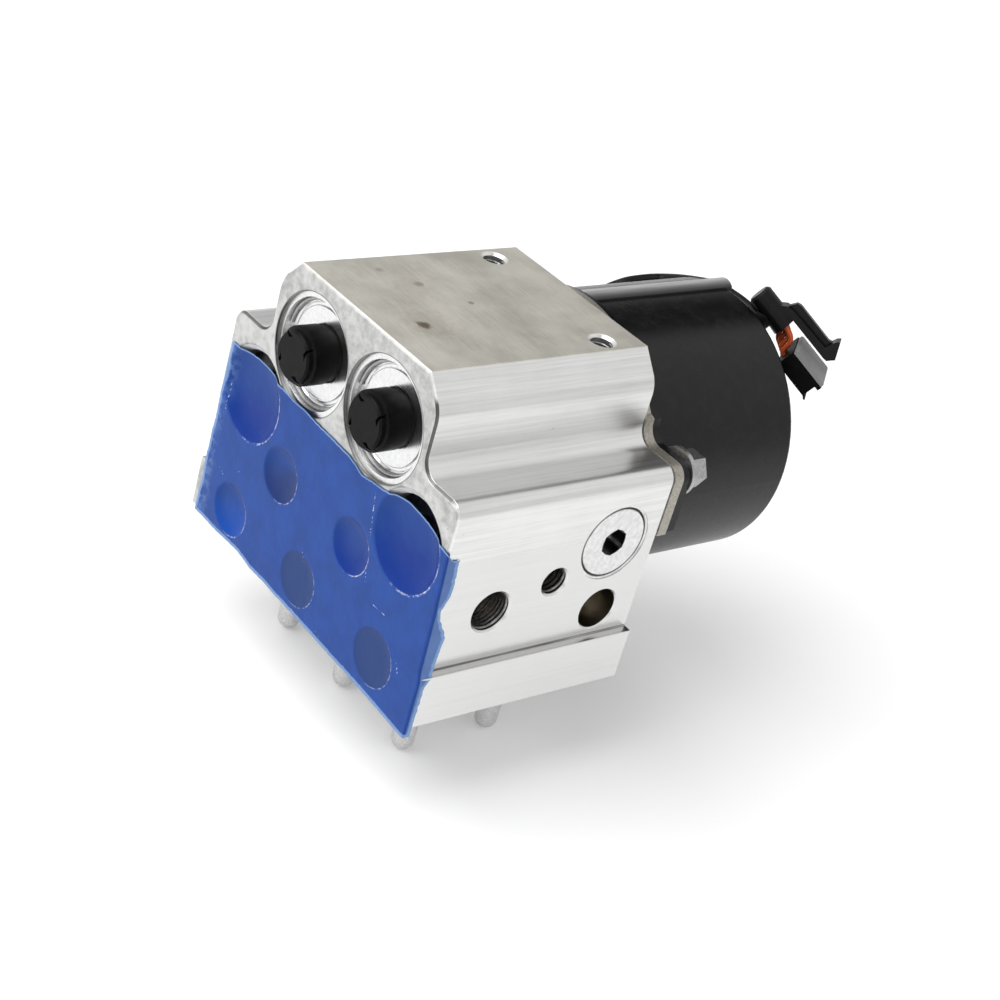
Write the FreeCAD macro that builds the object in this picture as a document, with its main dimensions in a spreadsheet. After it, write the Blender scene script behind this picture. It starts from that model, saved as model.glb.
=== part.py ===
# Hydraulic unit of a car's anti-lock brakes: a machined aluminium valve block with its electric pump motor.
# Millimetres. X runs across the front face, Y from the front face to the motor, Z up.
# The origin is the centre of the block's bottom face.
import FreeCAD, Part
import math
import os
import re
import Sketcher
from FreeCAD import Placement, Rotation, Vector

sizes = {
    # valve block, an extrusion profile cut to length
    "block_depth": 80, "block_height": 98, "body_half_width": 57, "ledge_overhang": 2.7,
    "ledge_height": 16.8, "shoulder_drop": 27, "shoulder_radius": 4.5, "neck_inset": 17.8,
    "neck_radius": 5.5, "bulge_drop": 12, "bulge_inset": 1.8, "slant_drop": 6.5, "slant_width": 5.8,
    "edge_chamfer": 0.8,
    # low-pressure accumulators in the front face
    "accumulator_x": 18.2, "accumulator_drop": 22.4, "accumulator_rim_radius": 18.1, "rim_depth": 1.1,
    "cover_radius": 16.4, "cover_seat_depth": 6.2, "cover_thickness": 2.6, "accumulator_bore_radius": 13.5,
    "accumulator_depth": 37, "retaining_wire": 1.1, "accumulator_piston_length": 11,
    "accumulator_piston_wall": 2.2, "accumulator_spring_wire": 1.8,
    "vent_hole_radius": 3.2, "vent_cap_radius": 8.7, "vent_cap_front": 6.4, "vent_lip_radius": 7.7,
    "vent_lip_length": 2.2, "vent_disc_radius": 5.6, "vent_slot_width": 0.7,
    # damper chambers below them
    "damper_inset": 16.5, "damper_z": 49.7, "damper_rim_radius": 15.4, "damper_radius": 13.5,
    "damper_depth": 13, "damper_plug_length": 6,
    # brake line ports in the front face
    "port_mouth_radius": 8.4, "port_radius": 5.4, "port_mouth_depth": 1.2, "port_depth": 12,
    "port_drill_radius": 1.8, "inlet_port_x": 18.9, "inlet_port_z": 35, "outlet_port_x": 39.1,
    "outlet_port_z": 10.4,
    # ports and thread in each side face
    "side_port_y": -17.8, "side_port_z": 33.3, "side_port_radius": 7, "side_port_depth": 14,
    "side_thread_y": 3.7, "side_thread_z": 39.3, "side_thread_radius": 4.3, "side_thread_mouth": 4.9,
    "side_thread_depth": 15, "side_bore_y": 24.9, "side_bore_z": 25.7, "side_bore_radius": 7.1,
    "side_bore_depth": 13,
    # mounting threads in the top face
    "top_thread_x": 26, "top_thread_y": 26.3, "top_thread_radius": 3.4, "top_thread_mouth": 4.3,
    "top_thread_depth": 16,
    # solenoid valves in the bottom face
    "valve_spacing_x": 32.5, "valve_front_y": -13, "valve_back_y": 19.5, "valve_body_radius": 7.2,
    "valve_body_length": 20, "valve_collar_radius": 8.2, "valve_collar_length": 1.6,
    "dome_radius": 3.6, "dome_wall": 0.7, "dome_length": 34.5, "plunger_radius": 2.6,
    "plunger_length": 17, "plunger_travel": 0.4, "plunger_gap": 0.3, "valve_pin_radius": 0.9,
    # pump, across the block
    "shaft_height": 50.2, "pump_drop": 1, "pump_y": 23, "plug_radius": 12.4, "plug_length": 9,
    "plug_socket": 8, "plug_socket_depth": 5.5, "plug_ring_radius": 11.4, "plug_ring_width": 0.5,
    "sleeve_radius": 9.5, "sleeve_inner_end": 17, "sleeve_end_wall": 2.5, "pump_piston_radius": 5,
    "pump_piston_length": 22, "pump_piston_tip": 3.2, "running_gap": 0.1, "outer_gap": 0.3,
    "pump_spring_wire": 1, "chamber_radius": 15.6, "chamber_depth": 27,
    # rotor
    "shaft_radius": 5, "shaft_front": 15, "eccentric_offset": 1.5, "eccentric_radius": 7.4,
    "eccentric_ring_radius": 10, "eccentric_width": 12, "core_radius": 36.2, "core_front": 60,
    "core_length": 24, "core_slot_width": 5, "core_slot_mouth": 1.6, "core_tooth_lip": 3,
    "core_hub_radius": 13, "winding_length": 6.5, "winding_outer_radius": 33.5,
    "winding_inner_radius": 15, "commutator_radius": 10.5, "commutator_front": 91.6,
    "commutator_length": 10, "commutator_riser": 13, "commutator_riser_length": 1.6,
    # motor case
    "plate_thickness": 3.5, "plate_radius": 46.6, "lug_inset": 6.7, "lug_drop": 4.9, "lug_overhang": 1,
    "lug_length": 17.5, "can_flange": 2.8, "can_radius": 43.6, "can_wall": 2.2, "can_back": 107,
    "can_edge_radius": 1.2, "can_pocket_radius": 10.5, "can_pocket_length": 3.6, "plate_boss_radius": 16,
    "bearing_radius": 13, "bearing_width": 8, "bearing_lip": 1.5, "bush_radius": 7.8, "bush_length": 6,
    "magnet_inner_radius": 36.9, "magnet_angle": 132, "magnet_overhang": 2.5, "bolt_radius": 3,
    "bolt_flat": 5, "bolt_head_height": 5, "bolt_flange_radius": 6.4, "bolt_flange_height": 1.4,
    "bolt_length": 20, "washer_radius": 7.3, "washer_thickness": 1.5, "hole_gap": 0.2, "fit_gap": 0.02,
    # brush gear
    "holder_y": 92.5, "holder_thickness": 2, "holder_radius": 41, "holder_bore_radius": 14.2,
    "brush_width": 5, "brush_height": 6, "brush_length": 9, "brush_gap": 0.15,
    "brush_box_wall": 0.8, "brush_box_length": 20, "brush_spring_wire": 0.6,
    # leads and connector behind the can
    "sleeve_angle": 98, "sleeve_width": 7, "sleeve_edge": 0.3, "sleeve_overhang": 1.6,
    "lead_radius": 1.9, "lead_clearance": 0.3,
    "grommet_x": 7, "grommet_z": 81.6, "grommet_radius": 6.4, "grommet_neck_radius": 4,
    "grommet_length": 2.5, "connector_x": 26.8, "connector_y": 113, "connector_z": 86.9,
    "connector_length": 14.5, "connector_depth": 18.6, "connector_height": 7.7, "connector_nose": 1.5,
    "connector_nose_height": 2.9, "lock_thickness": 1.4, "cavity_width": 2.2, "cavity_depth": 8,
    "boot_start": 20.5, "boot_end": 7, "boot_radius": 3.9, "boot_mouth_radius": 3.5, "boot_mouth_depth": 1.2,
    "boot_drop": 0.4, "boot_stalk_x": 13, "boot_stalk_radius": 3.2, "boot_stalk_length": 20,
    "arm_width": 5, "arm_rib_width": 2.2, "arm_low": 3.2, "arm_shelf": 5.3, "arm_top": 7.9,
    "wire_radius": 0.8, "wire_pitch": 1.65, "wire_start": 1.5,
    # protective film on the front face
    "film_thickness": 0.3, "film_gap": 0.05, "film_top_left": 60,
    "film_top_right": 55.8, "film_bottom": -0.6, "film_wrap": 5,
}

doc = FreeCAD.newDocument("BrakeUnit")
sheet = doc.addObject("Spreadsheet::Sheet", "Sizes")
for row, (name, number) in enumerate(sizes.items(), start=1):
    sheet.set(f"A{row}", name)
    sheet.set(f"B{row}", str(number))
    sheet.setAlias(f"B{row}", name)
doc.recompute()

parts = []


def bound(text):
    """Writes a plain formula of size names as an expression on the sheet."""
    return re.sub(r"[a-z][a-z_]*[a-z]", lambda m: "Sizes." + m[0] if m[0] in sizes else m[0], text)


def value(text):
    return float(sheet.evalExpression(bound(text)))


# Sketches

def plane_of(body, role):
    return next(item for item in body.Origin.OriginFeatures if item.Role == role)


def new_sketch(body, name, role, offset=("0", "0", "0")):
    """A sketch on one of its body's origin planes, moved by the offset given in the sketch's own axes."""
    sketch = body.newObject("Sketcher::SketchObject", name)
    sketch.AttachmentSupport = (plane_of(body, role), "")
    sketch.MapMode = "FlatFace"
    sketch.AttachmentOffset = Placement(Vector(*[value(text) for text in offset]), Rotation())
    for axis, text in zip("xyz", offset):
        if text != "0":
            sketch.setExpression(f"AttachmentOffset.Base.{axis}", bound(text))
    return sketch


def pin_point(sketch, index, end, at):
    """Holds one end of an edge at a place given by two formulas."""
    for kind, text in zip(("DistanceX", "DistanceY"), at):
        number = sketch.addConstraint(Sketcher.Constraint(kind, -1, 1, index, end, value(text)))
        if any(name in sizes for name in re.findall(r"[a-z_]+", text)):
            sketch.setExpression(f"Constraints[{number}]", bound(text))


def outline(sketch, points, arcs=None):
    """A closed outline through the points. arcs gives the radius of the edge that starts at a point, with a
    minus where the edge bends to the right of its way."""
    arcs = arcs or {}
    spots = [Vector(value(x), value(y), 0) for x, y in points]
    first = None
    for i, (here, there) in enumerate(zip(spots, spots[1:] + spots[:1])):
        if i in arcs:
            radius = value(arcs[i])
            half = (there - here) * 0.5
            side = Vector(-half.y, half.x, 0).normalize() * math.copysign(1, radius)
            centre = here + half + side * math.sqrt(max(radius ** 2 - half.Length ** 2, 0))
            start = math.atan2(here.y - centre.y, here.x - centre.x)
            stop = math.atan2(there.y - centre.y, there.x - centre.x)
            if radius < 0:
                start, stop = stop, start
            circle = Part.Circle(centre, Vector(0, 0, 1), abs(radius))
            index = sketch.addGeometry(Part.ArcOfCircle(circle, start, stop), False)
            number = sketch.addConstraint(Sketcher.Constraint("Radius", index, abs(radius)))
            sketch.setExpression(f"Constraints[{number}]", bound(f"abs({arcs[i]})"))
            ends = (1, 2) if radius > 0 else (2, 1)
        else:
            index = sketch.addGeometry(Part.LineSegment(here, there), False)
            ends = (1, 2)
        pin_point(sketch, index, ends[0], points[i])
        if first is None:
            first = (index, ends[0])
        else:
            sketch.addConstraint(Sketcher.Constraint("Coincident", last[0], last[1], index, ends[0]))
        last = (index, ends[1])
    sketch.addConstraint(Sketcher.Constraint("Coincident", last[0], last[1], first[0], first[1]))
    return sketch


def ring(sketch, x, y, radius):
    """A full circle at a place given by formulas."""
    circle = Part.Circle(Vector(value(x), value(y), 0), Vector(0, 0, 1), value(radius))
    index = sketch.addGeometry(circle, False)
    pin_point(sketch, index, 3, (x, y))
    number = sketch.addConstraint(Sketcher.Constraint("Radius", index, value(radius)))
    sketch.setExpression(f"Constraints[{number}]", bound(radius))
    return index


# Bodies and features

def new_body(label):
    body = doc.addObject("PartDesign::Body", label)
    body.Label = label
    return body


def keep(piece, label=None):
    """Adds a finished piece to the list that is written to files."""
    piece.Label = label or piece.Label
    parts.append(piece)
    return piece


def place(piece, at=("0", "0", "0"), turn=None):
    """Moves a piece to a place given by formulas, turned first."""
    piece.Placement = Placement(Vector(*[value(text) for text in at]), turn or Rotation())
    for axis, text in zip("xyz", at):
        if text != "0":
            piece.setExpression(f".Placement.Base.{axis}", bound(text))
    return piece


def extrude(body, name, sketch, length, kind="PartDesign::Pad", backwards=False):
    feature = body.newObject(kind, name)
    feature.Profile = sketch
    feature.Length = value(length)
    feature.setExpression("Length", bound(length))
    feature.Reversed = backwards
    return feature


def turned(body, name, sketch, axis="V_Axis", kind="PartDesign::Revolution"):
    feature = body.newObject(kind, name)
    feature.Profile = sketch
    feature.ReferenceAxis = (sketch, [axis])
    feature.Angle = 360
    return feature


def turned_piece(label, points, at, turn, arcs=None):
    """A piece of revolution. Its outline holds (radius, along) and its axis is turned from Z."""
    body = new_body(label)
    turned(body, "Turning", outline(new_sketch(body, "Outline", "XZ_Plane"), points, arcs))
    return keep(place(body, at, turn))


along_x = Rotation(Vector(0, 1, 0), 90)
along_minus_x = Rotation(Vector(0, 1, 0), -90)
along_y = Rotation(Vector(1, 0, 0), -90)
along_minus_y = Rotation(Vector(1, 0, 0), 90)
along_z = Rotation()
along_minus_z = Rotation(Vector(1, 0, 0), 180)

overshoot = "1"

# Places that follow from several sizes
shoulder_height = "(block_height - shoulder_drop)"
bulge_height = "(block_height - bulge_drop)"
slant_height = "(block_height - slant_drop)"
neck_half_width = "(body_half_width - neck_inset)"
slant_half_width = f"({neck_half_width} - bulge_inset)"
ledge_half_width = "(body_half_width + ledge_overhang)"
accumulator_z = "block_height - accumulator_drop"
damper_x = "(body_half_width - damper_inset)"
pump_z = "shaft_height - pump_drop"
lug_x = "(body_half_width - lug_inset)"
lug_z = f"({shoulder_height} - lug_drop)"


def bore(body, name, face, across, up, steps):
    """A turned hole from one face of the block. steps holds (depth, radius), and it runs out of the face."""
    shape = [(f"-{overshoot}", steps[0][1])] + list(steps)
    table = {
        "front": ("YZ_Plane", ("-block_depth / 2", up, across), "H_Axis", 1),
        "back": ("YZ_Plane", ("block_depth / 2", up, across), "H_Axis", -1),
        "right": ("XY_Plane", ("body_half_width", across, up), "H_Axis", -1),
        "bottom": ("YZ_Plane", (up, "0", across), "V_Axis", 1),
        "top": ("YZ_Plane", (up, "block_height", across), "V_Axis", -1),
    }
    role, offset, axis, sign = table[face]
    sketch = new_sketch(body, name + "Outline", role, offset)
    flat = [(shape[0][0], "0")] + shape + [(shape[-1][0], "0")]
    depths = [(f"{sign} * ({depth})", radius) for depth, radius in flat]
    points = depths if axis == "H_Axis" else [(radius, depth) for depth, radius in depths]
    outline(sketch, points)
    return turned(body, name, sketch, axis, "PartDesign::Groove")


def plain_bore(radius, depth):
    return [("0", radius), (depth, radius)]


def chamfered_bore(mouth, radius, depth):
    """A bore whose mouth is opened by a 45 degree chamfer."""
    return [("0", mouth), (f"{mouth} - ({radius})", radius), (depth, radius)]


def drilled_bore(mouth, radius, depth):
    """The same with the cone that a drill leaves."""
    return chamfered_bore(mouth, radius, depth) + [(f"{depth} + ({radius}) * 0.5", "0.05")]


# Valve block

def block_outline():
    """The right half of the profile, from the bottom up, and its mirror image."""
    right = [
        (ledge_half_width, "0"), (ledge_half_width, "ledge_height"),
        ("body_half_width", "ledge_height"), ("body_half_width", f"{shoulder_height} - shoulder_radius"),
        ("body_half_width - shoulder_radius", shoulder_height),
        (f"{neck_half_width} + neck_radius", shoulder_height),
        (neck_half_width, f"{shoulder_height} + neck_radius"), (neck_half_width, bulge_height),
        (slant_half_width, slant_height), (f"{slant_half_width} - slant_width", "block_height"),
    ]
    left = [(f"-({x})", z) for x, z in reversed(right)]
    bulge = "(bulge_inset^2 + (bulge_drop - slant_drop)^2) / (2 * bulge_inset)"
    bends = {3: "shoulder_radius", 5: "-neck_radius", 7: bulge}
    last = 2 * len(right) - 2
    arcs = dict(bends)
    arcs.update({last - i: text for i, text in bends.items()})
    return right + left, arcs


def profile_slab(body, name, start, length):
    """The block's profile from a depth start, as long as length towards the motor."""
    sketch = new_sketch(body, name + "Outline", "XZ_Plane", ("0", "0", f"-({start})"))
    points, arcs = block_outline()
    outline(sketch, points, arcs)
    return extrude(body, name, sketch, length, backwards=True)


def valve_block():
    body = new_body("valve_block")
    slab = profile_slab(body, "Slab", "-block_depth / 2", "block_depth")
    doc.recompute()
    half = value("block_depth / 2")
    rims = [f"Edge{i}" for i, edge in enumerate(slab.Shape.Edges, start=1)
            if abs(abs(edge.CenterOfMass.y) - half) < 1e-6]
    chamfer = body.newObject("PartDesign::Chamfer", "EndChamfer")
    chamfer.Base = (slab, rims)
    chamfer.Size = value("edge_chamfer")
    chamfer.setExpression("Size", bound("edge_chamfer"))
    paired = [
        bore(body, "AccumulatorBore", "front", "accumulator_x", accumulator_z, [
            ("0", "accumulator_rim_radius"), ("rim_depth", "accumulator_rim_radius"),
            ("rim_depth", "cover_radius + fit_gap"), ("cover_seat_depth", "cover_radius + fit_gap"),
            ("cover_seat_depth", "accumulator_bore_radius"),
            ("accumulator_depth", "accumulator_bore_radius")]),
        bore(body, "DamperBore", "front", damper_x, "damper_z",
             chamfered_bore("damper_rim_radius", "damper_radius", "damper_depth")),
        bore(body, "InletPort", "front", "inlet_port_x", "inlet_port_z", port_steps()),
        bore(body, "OutletPort", "front", "outlet_port_x", "outlet_port_z", port_steps()),
        bore(body, "SidePort", "right", "side_port_y", "side_port_z",
             drilled_bore("side_port_radius", "side_port_radius - 0.6", "side_port_depth")),
        bore(body, "SideThread", "right", "side_thread_y", "side_thread_z",
             drilled_bore("side_thread_mouth", "side_thread_radius", "side_thread_depth")),
        bore(body, "SideBore", "right", "side_bore_y", "side_bore_z",
             drilled_bore("side_bore_radius", "side_bore_radius - 0.4", "side_bore_depth")),
        bore(body, "PumpBore", "right", "pump_y", pump_z, [
            ("0", "plug_radius + fit_gap"), ("plug_length + outer_gap", "plug_radius + fit_gap"),
            ("plug_length + outer_gap", "sleeve_radius + fit_gap"),
            ("body_half_width - 1", "sleeve_radius + fit_gap")]),
        bore(body, "TopThread", "top", "top_thread_x", "top_thread_y",
             drilled_bore("top_thread_mouth", "top_thread_radius", "top_thread_depth")),
        bore(body, "FrontValveBore", "bottom", "valve_spacing_x", "valve_front_y", valve_steps()),
        bore(body, "BackValveBore", "bottom", "valve_spacing_x", "valve_back_y", valve_steps()),
    ]
    mirror = body.newObject("PartDesign::Mirrored", "LeftSide")
    mirror.Originals = paired
    mirror.MirrorPlane = (plane_of(body, "YZ_Plane"), [""])
    body.Tip = mirror
    bore(body, "MiddlePort", "front", "0", "outlet_port_z", port_steps())
    bore(body, "FrontMiddleValve", "bottom", "0", "valve_front_y", valve_steps())
    bore(body, "BackMiddleValve", "bottom", "0", "valve_back_y", valve_steps())
    bore(body, "ShaftChamber", "back", "0", "shaft_height", plain_bore("chamber_radius", "chamber_depth"))
    for name, sign in (("Right", 1), ("Left", -1)):
        bore(body, name + "BoltBore", "back", f"{sign} * {lug_x}", lug_z,
             plain_bore("bolt_radius", "bolt_length - 3"))
    return keep(body)


def port_steps():
    return [("0", "port_mouth_radius"), ("port_mouth_depth", "port_mouth_radius"),
            ("port_mouth_depth", "port_radius"), ("port_depth", "port_radius"),
            ("port_depth + port_radius * 0.6", "port_drill_radius"),
            ("port_depth + port_radius * 0.6 + 2", "port_drill_radius")]


def valve_steps():
    return [("0", "valve_collar_radius + fit_gap"), ("valve_collar_length", "valve_collar_radius + fit_gap"),
            ("valve_collar_length", "valve_body_radius + fit_gap"),
            ("valve_body_length", "valve_body_radius + fit_gap")]


# Accumulators, dampers and vent caps, one of each on each side

def spring(label, mean_radius, wire, length, turns, at, turn):
    """A coil spring from its seat upwards, with its wire inside the length."""
    body = new_body(label)
    sketch = new_sketch(body, "Wire", "XZ_Plane")
    ring(sketch, mean_radius, f"{wire} / 2", f"{wire} / 2")
    coil = body.newObject("PartDesign::AdditiveHelix", "Coil")
    coil.Profile = sketch
    coil.ReferenceAxis = (sketch, ["V_Axis"])
    coil.Mode = "height-turns-growth"
    coil.Height = value(f"{length} - {wire}")
    coil.setExpression("Height", bound(f"{length} - {wire}"))
    coil.Turns = turns
    coil.Growth = 0
    return keep(place(body, at, turn))


ring_gap = 14


def accumulator(side, sign):
    x = f"{sign} * accumulator_x"
    face = "-block_depth / 2"
    cover_back = f"{face} + cover_seat_depth"
    piston_back = f"{face} + accumulator_depth - outer_gap"
    turned_piece("accumulator_cover_" + side, [
        ("vent_hole_radius", "0"), ("cover_radius", "0"), ("cover_radius", "cover_thickness - 0.6"),
        ("cover_radius - 0.6", "cover_thickness"), ("cover_radius - 1.4", "cover_thickness"),
        ("cover_radius - 1.8", "cover_thickness - 0.5"), ("cover_radius - 2.4", "cover_thickness - 0.5"),
        ("cover_radius - 2.8", "cover_thickness"), ("vent_hole_radius", "cover_thickness"),
    ], (x, cover_back, accumulator_z), along_minus_y)
    wire = "retaining_wire"
    retaining = new_body("retaining_ring_" + side)
    section = new_sketch(retaining, "Wire", "XZ_Plane")
    ring(section, f"cover_radius - {wire} / 2", f"cover_thickness + {wire} / 2", f"{wire} / 2")
    turned(retaining, "Turning", section).Angle = 360 - ring_gap
    start = along_minus_y.multiply(Rotation(Vector(0, 0, 1), 180 + ring_gap / 2))
    keep(place(retaining, (x, cover_back, accumulator_z), start))
    bore_radius = "accumulator_bore_radius - outer_gap"
    turned_piece("accumulator_piston_" + side, [
        ("0", "0"), (f"{bore_radius} - 1", "0"), (bore_radius, "1"), (bore_radius, "3"),
        (f"{bore_radius} - 1.2", "3"), (f"{bore_radius} - 1.2", "5"), (bore_radius, "5"),
        (bore_radius, "accumulator_piston_length"),
        (f"{bore_radius} - accumulator_piston_wall", "accumulator_piston_length"),
        (f"{bore_radius} - accumulator_piston_wall", "accumulator_piston_wall"),
        ("0", "accumulator_piston_wall"),
    ], (x, piston_back, accumulator_z), along_minus_y)
    spring("accumulator_spring_" + side, f"{bore_radius} - accumulator_piston_wall - 1.6",
           "accumulator_spring_wire",
           "accumulator_depth - outer_gap - accumulator_piston_wall - cover_seat_depth", 5,
           (x, f"{piston_back} - accumulator_piston_wall", accumulator_z), along_minus_y)


def vent_cap(side, sign):
    """A moulded breather cap: a stem through the cover, a barrel, and a stepped end, slotted round a disc."""
    label = "vent_cap_" + side
    body = new_body(label)
    base = "cover_thickness"
    top = "(cover_seat_depth + vent_cap_front)"
    turned(body, "Turning", outline(new_sketch(body, "Outline", "XZ_Plane"), [
        ("0", "-2"), ("vent_hole_radius + 0.5", "-2"), ("vent_hole_radius + 0.5", "0"),
        ("vent_hole_radius", "0"), ("vent_hole_radius", base), ("vent_cap_radius - 0.6", base),
        ("vent_cap_radius - 0.6", f"{base} + 1"), ("vent_cap_radius", f"{base} + 1.4"),
        ("vent_cap_radius", f"{top} - vent_lip_length"),
        ("vent_lip_radius", f"{top} - vent_lip_length + 0.4"),
        ("vent_lip_radius", f"{top} - 0.6"), ("vent_lip_radius - 0.6", top), ("0", top),
    ]))
    slots = new_sketch(body, "SlotOutline", "XY_Plane", ("0", "0", top))
    arc_slot(slots, "vent_disc_radius", "vent_disc_radius + vent_slot_width", 35)
    slot = extrude(body, "Slot", slots, "vent_lip_length", "PartDesign::Pocket")
    around = body.newObject("PartDesign::PolarPattern", "Slots")
    around.Originals = [slot]
    around.Axis = (plane_of(body, "Z_Axis"), [""])
    around.Angle = 360
    around.Occurrences = 4
    body.Tip = around
    keep(place(body, (f"{sign} * accumulator_x", "-block_depth / 2 + cover_seat_depth", accumulator_z),
               along_minus_y))


def arc_slot(sketch, inner, outer, half_angle):
    """A slot along a circle round the sketch's origin, to half_angle degrees on each side of its X axis."""
    across, along = math.sin(math.radians(half_angle)), math.cos(math.radians(half_angle))
    points = [(f"{inner} * {along:.6f}", f"{inner} * -{across:.6f}"),
              (f"{outer} * {along:.6f}", f"{outer} * -{across:.6f}"),
              (f"{outer} * {along:.6f}", f"{outer} * {across:.6f}"),
              (f"{inner} * {along:.6f}", f"{inner} * {across:.6f}")]
    outline(sketch, points, {1: outer, 3: f"-({inner})"})


def damper_plug(side, sign):
    """A closing plug with a spanner recess, at the bottom of its bore."""
    radius = "damper_radius - fit_gap"
    turned_piece("damper_plug_" + side, [
        ("0", "0"), (f"{radius} - 0.8", "0"), (radius, "0.8"), (radius, "damper_plug_length - 0.8"),
        (f"{radius} - 0.8", "damper_plug_length"), ("damper_radius * 0.5", "damper_plug_length"),
        ("damper_radius * 0.42", "damper_plug_length - 2"), ("0", "damper_plug_length - 2"),
    ], (f"{sign} * {damper_x}", "-block_depth / 2 + damper_depth", "damper_z"), along_minus_y)


# Pump, one element on each side of the shaft

def pump_element(side, sign):
    turn = along_x if sign > 0 else along_minus_x
    centre = ("0", "pump_y", pump_z)
    label = "pump_plug_" + side
    body = new_body(label)
    face = "body_half_width - 0.3"
    turned(body, "Turning", outline(new_sketch(body, "Outline", "XZ_Plane"), [
        ("0", "body_half_width - plug_length"), ("plug_radius - 0.8", "body_half_width - plug_length"),
        ("plug_radius", "body_half_width - plug_length + 0.8"), ("plug_radius", face),
        ("plug_ring_radius + plug_ring_width", face), ("plug_ring_radius", f"{face} - 0.5"),
        ("plug_ring_radius - plug_ring_width", face), ("0", face),
    ]))
    socket = new_sketch(body, "SocketOutline", "XY_Plane", ("0", "0", face))
    hexagon(socket, "plug_socket / 2")
    extrude(body, "Socket", socket, "plug_socket_depth", "PartDesign::Pocket")
    keep(place(body, centre, turn))
    inner = "pump_piston_radius + running_gap"
    end = "body_half_width - plug_length - outer_gap"
    turned_piece("pump_sleeve_" + side, [
        (inner, "sleeve_inner_end"), ("sleeve_radius - 1", "sleeve_inner_end"),
        ("sleeve_radius", "sleeve_inner_end + 1"), ("sleeve_radius", "sleeve_inner_end + 9"),
        ("sleeve_radius - 1", "sleeve_inner_end + 9.5"), ("sleeve_radius - 1", "sleeve_inner_end + 12.5"),
        ("sleeve_radius", "sleeve_inner_end + 13"), ("sleeve_radius", end), ("1.2", end),
        ("1.2", f"{end} - sleeve_end_wall"), (inner, f"{end} - sleeve_end_wall"),
    ], centre, turn)
    tip = "eccentric_offset + eccentric_ring_radius + outer_gap"
    turned_piece("pump_piston_" + side, [
        ("0", tip), ("pump_piston_tip", tip), ("pump_piston_radius", f"{tip} + 2"),
        ("pump_piston_radius", f"{tip} + pump_piston_length"),
        ("pump_piston_radius - 1.4", f"{tip} + pump_piston_length"),
        ("pump_piston_radius - 1.4", f"{tip} + pump_piston_length - 6"),
        ("0", f"{tip} + pump_piston_length - 6"),
    ], centre, turn)
    base = f"{tip} + pump_piston_length - 6"
    length = f"{end} - sleeve_end_wall - ({base})"
    spring("pump_spring_" + side, "pump_piston_radius - 2.1", "pump_spring_wire", length, 7,
           (f"{sign} * ({base})", "pump_y", pump_z), turn)


def hexagon(sketch, apothem):
    """A hexagon round the sketch's origin, given by half its width across flats."""
    reach = 1 / math.cos(math.pi / 6)
    points = []
    for corner in range(6):
        angle = math.radians(60 * corner)
        across, up = reach * math.cos(angle), reach * math.sin(angle)
        points.append((f"{apothem} * {across:.6f}", f"{apothem} * {up:.6f}"))
    outline(sketch, points)


# Solenoid valves, hanging under the block

def solenoid_valve(name, x, y):
    """A pressed-in valve body with a thin closed dome, and the plunger that slides in the dome."""
    tip = "-dome_length"
    inner = "dome_radius - dome_wall"
    foot = f"{tip} + dome_wall + plunger_gap"
    pole = f"{foot} + plunger_length + plunger_travel + 0.1"
    turned_piece("valve_dome_" + name, [
        ("0", tip), ("dome_radius", f"{tip} + dome_radius"), ("dome_radius", "-1.2"),
        ("dome_radius + 0.8", "0"), ("valve_collar_radius", "0"),
        ("valve_collar_radius", "valve_collar_length"), ("valve_body_radius", "valve_collar_length"),
        ("valve_body_radius", "valve_body_length - 7"),
        ("valve_body_radius - 1.4", "valve_body_length - 6"),
        ("valve_body_radius - 1.4", "valve_body_length"),
        ("valve_pin_radius + 0.3", "valve_body_length"), ("valve_pin_radius + 0.3", pole), (inner, pole),
        (inner, f"{tip} + dome_radius"), ("0", f"{tip} + dome_wall"),
    ], (x, y, "0"), along_z, {0: "dome_radius", 13: f"-({inner})"})
    radius = "plunger_radius"
    turned_piece("valve_plunger_" + name, [
        ("0", foot), (radius, f"{foot} + {radius}"), (radius, f"{foot} + plunger_length"),
        ("valve_pin_radius", f"{foot} + plunger_length"), ("valve_pin_radius", "valve_body_length - 4"),
        ("0", "valve_body_length - 3"),
    ], (x, y, "0"), along_z, {0: radius})


# Rotor: shaft with its eccentric, armature and commutator, along the motor's axis

axis_place = ("0", "0", "shaft_height")


def rotor():
    body = new_body("rotor_shaft")
    eccentric_start = "pump_y - eccentric_width / 2"
    shaft_end = "can_back + can_pocket_length - can_wall - 0.5"
    turned(body, "Shaft", outline(new_sketch(body, "ShaftOutline", "XZ_Plane"), [
        ("0", "shaft_front"), ("shaft_radius - 0.8", "shaft_front"), ("shaft_radius", "shaft_front + 0.8"),
        ("shaft_radius", f"{shaft_end} - 0.8"), ("shaft_radius - 0.8", shaft_end), ("0", shaft_end),
    ]))
    disc = new_sketch(body, "EccentricOutline", "XY_Plane", ("0", "0", eccentric_start))
    ring(disc, "0", "-eccentric_offset", "eccentric_radius")
    extrude(body, "Eccentric", disc, "eccentric_width")
    keep(place(body, axis_place, along_y))
    turned_piece("eccentric_ring", [
        ("eccentric_radius + running_gap", "0.5"), ("eccentric_ring_radius - 0.5", "0.5"),
        ("eccentric_ring_radius", "1"), ("eccentric_ring_radius", "eccentric_width - 1"),
        ("eccentric_ring_radius - 0.5", "eccentric_width - 0.5"),
        ("eccentric_radius + running_gap", "eccentric_width - 0.5"),
    ], ("0", eccentric_start, "shaft_height + eccentric_offset"), along_y)
    armature_core()
    armature_winding()
    inner = "shaft_radius + fit_gap"
    turned_piece("commutator", [
        (inner, "0"), ("commutator_riser", "0"), ("commutator_riser", "commutator_riser_length"),
        ("commutator_radius", "commutator_riser_length"), ("commutator_radius", "commutator_length"),
        (inner, "commutator_length"),
    ], ("0", "commutator_front", "shaft_height"), along_y)


slot_count = 12


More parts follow.
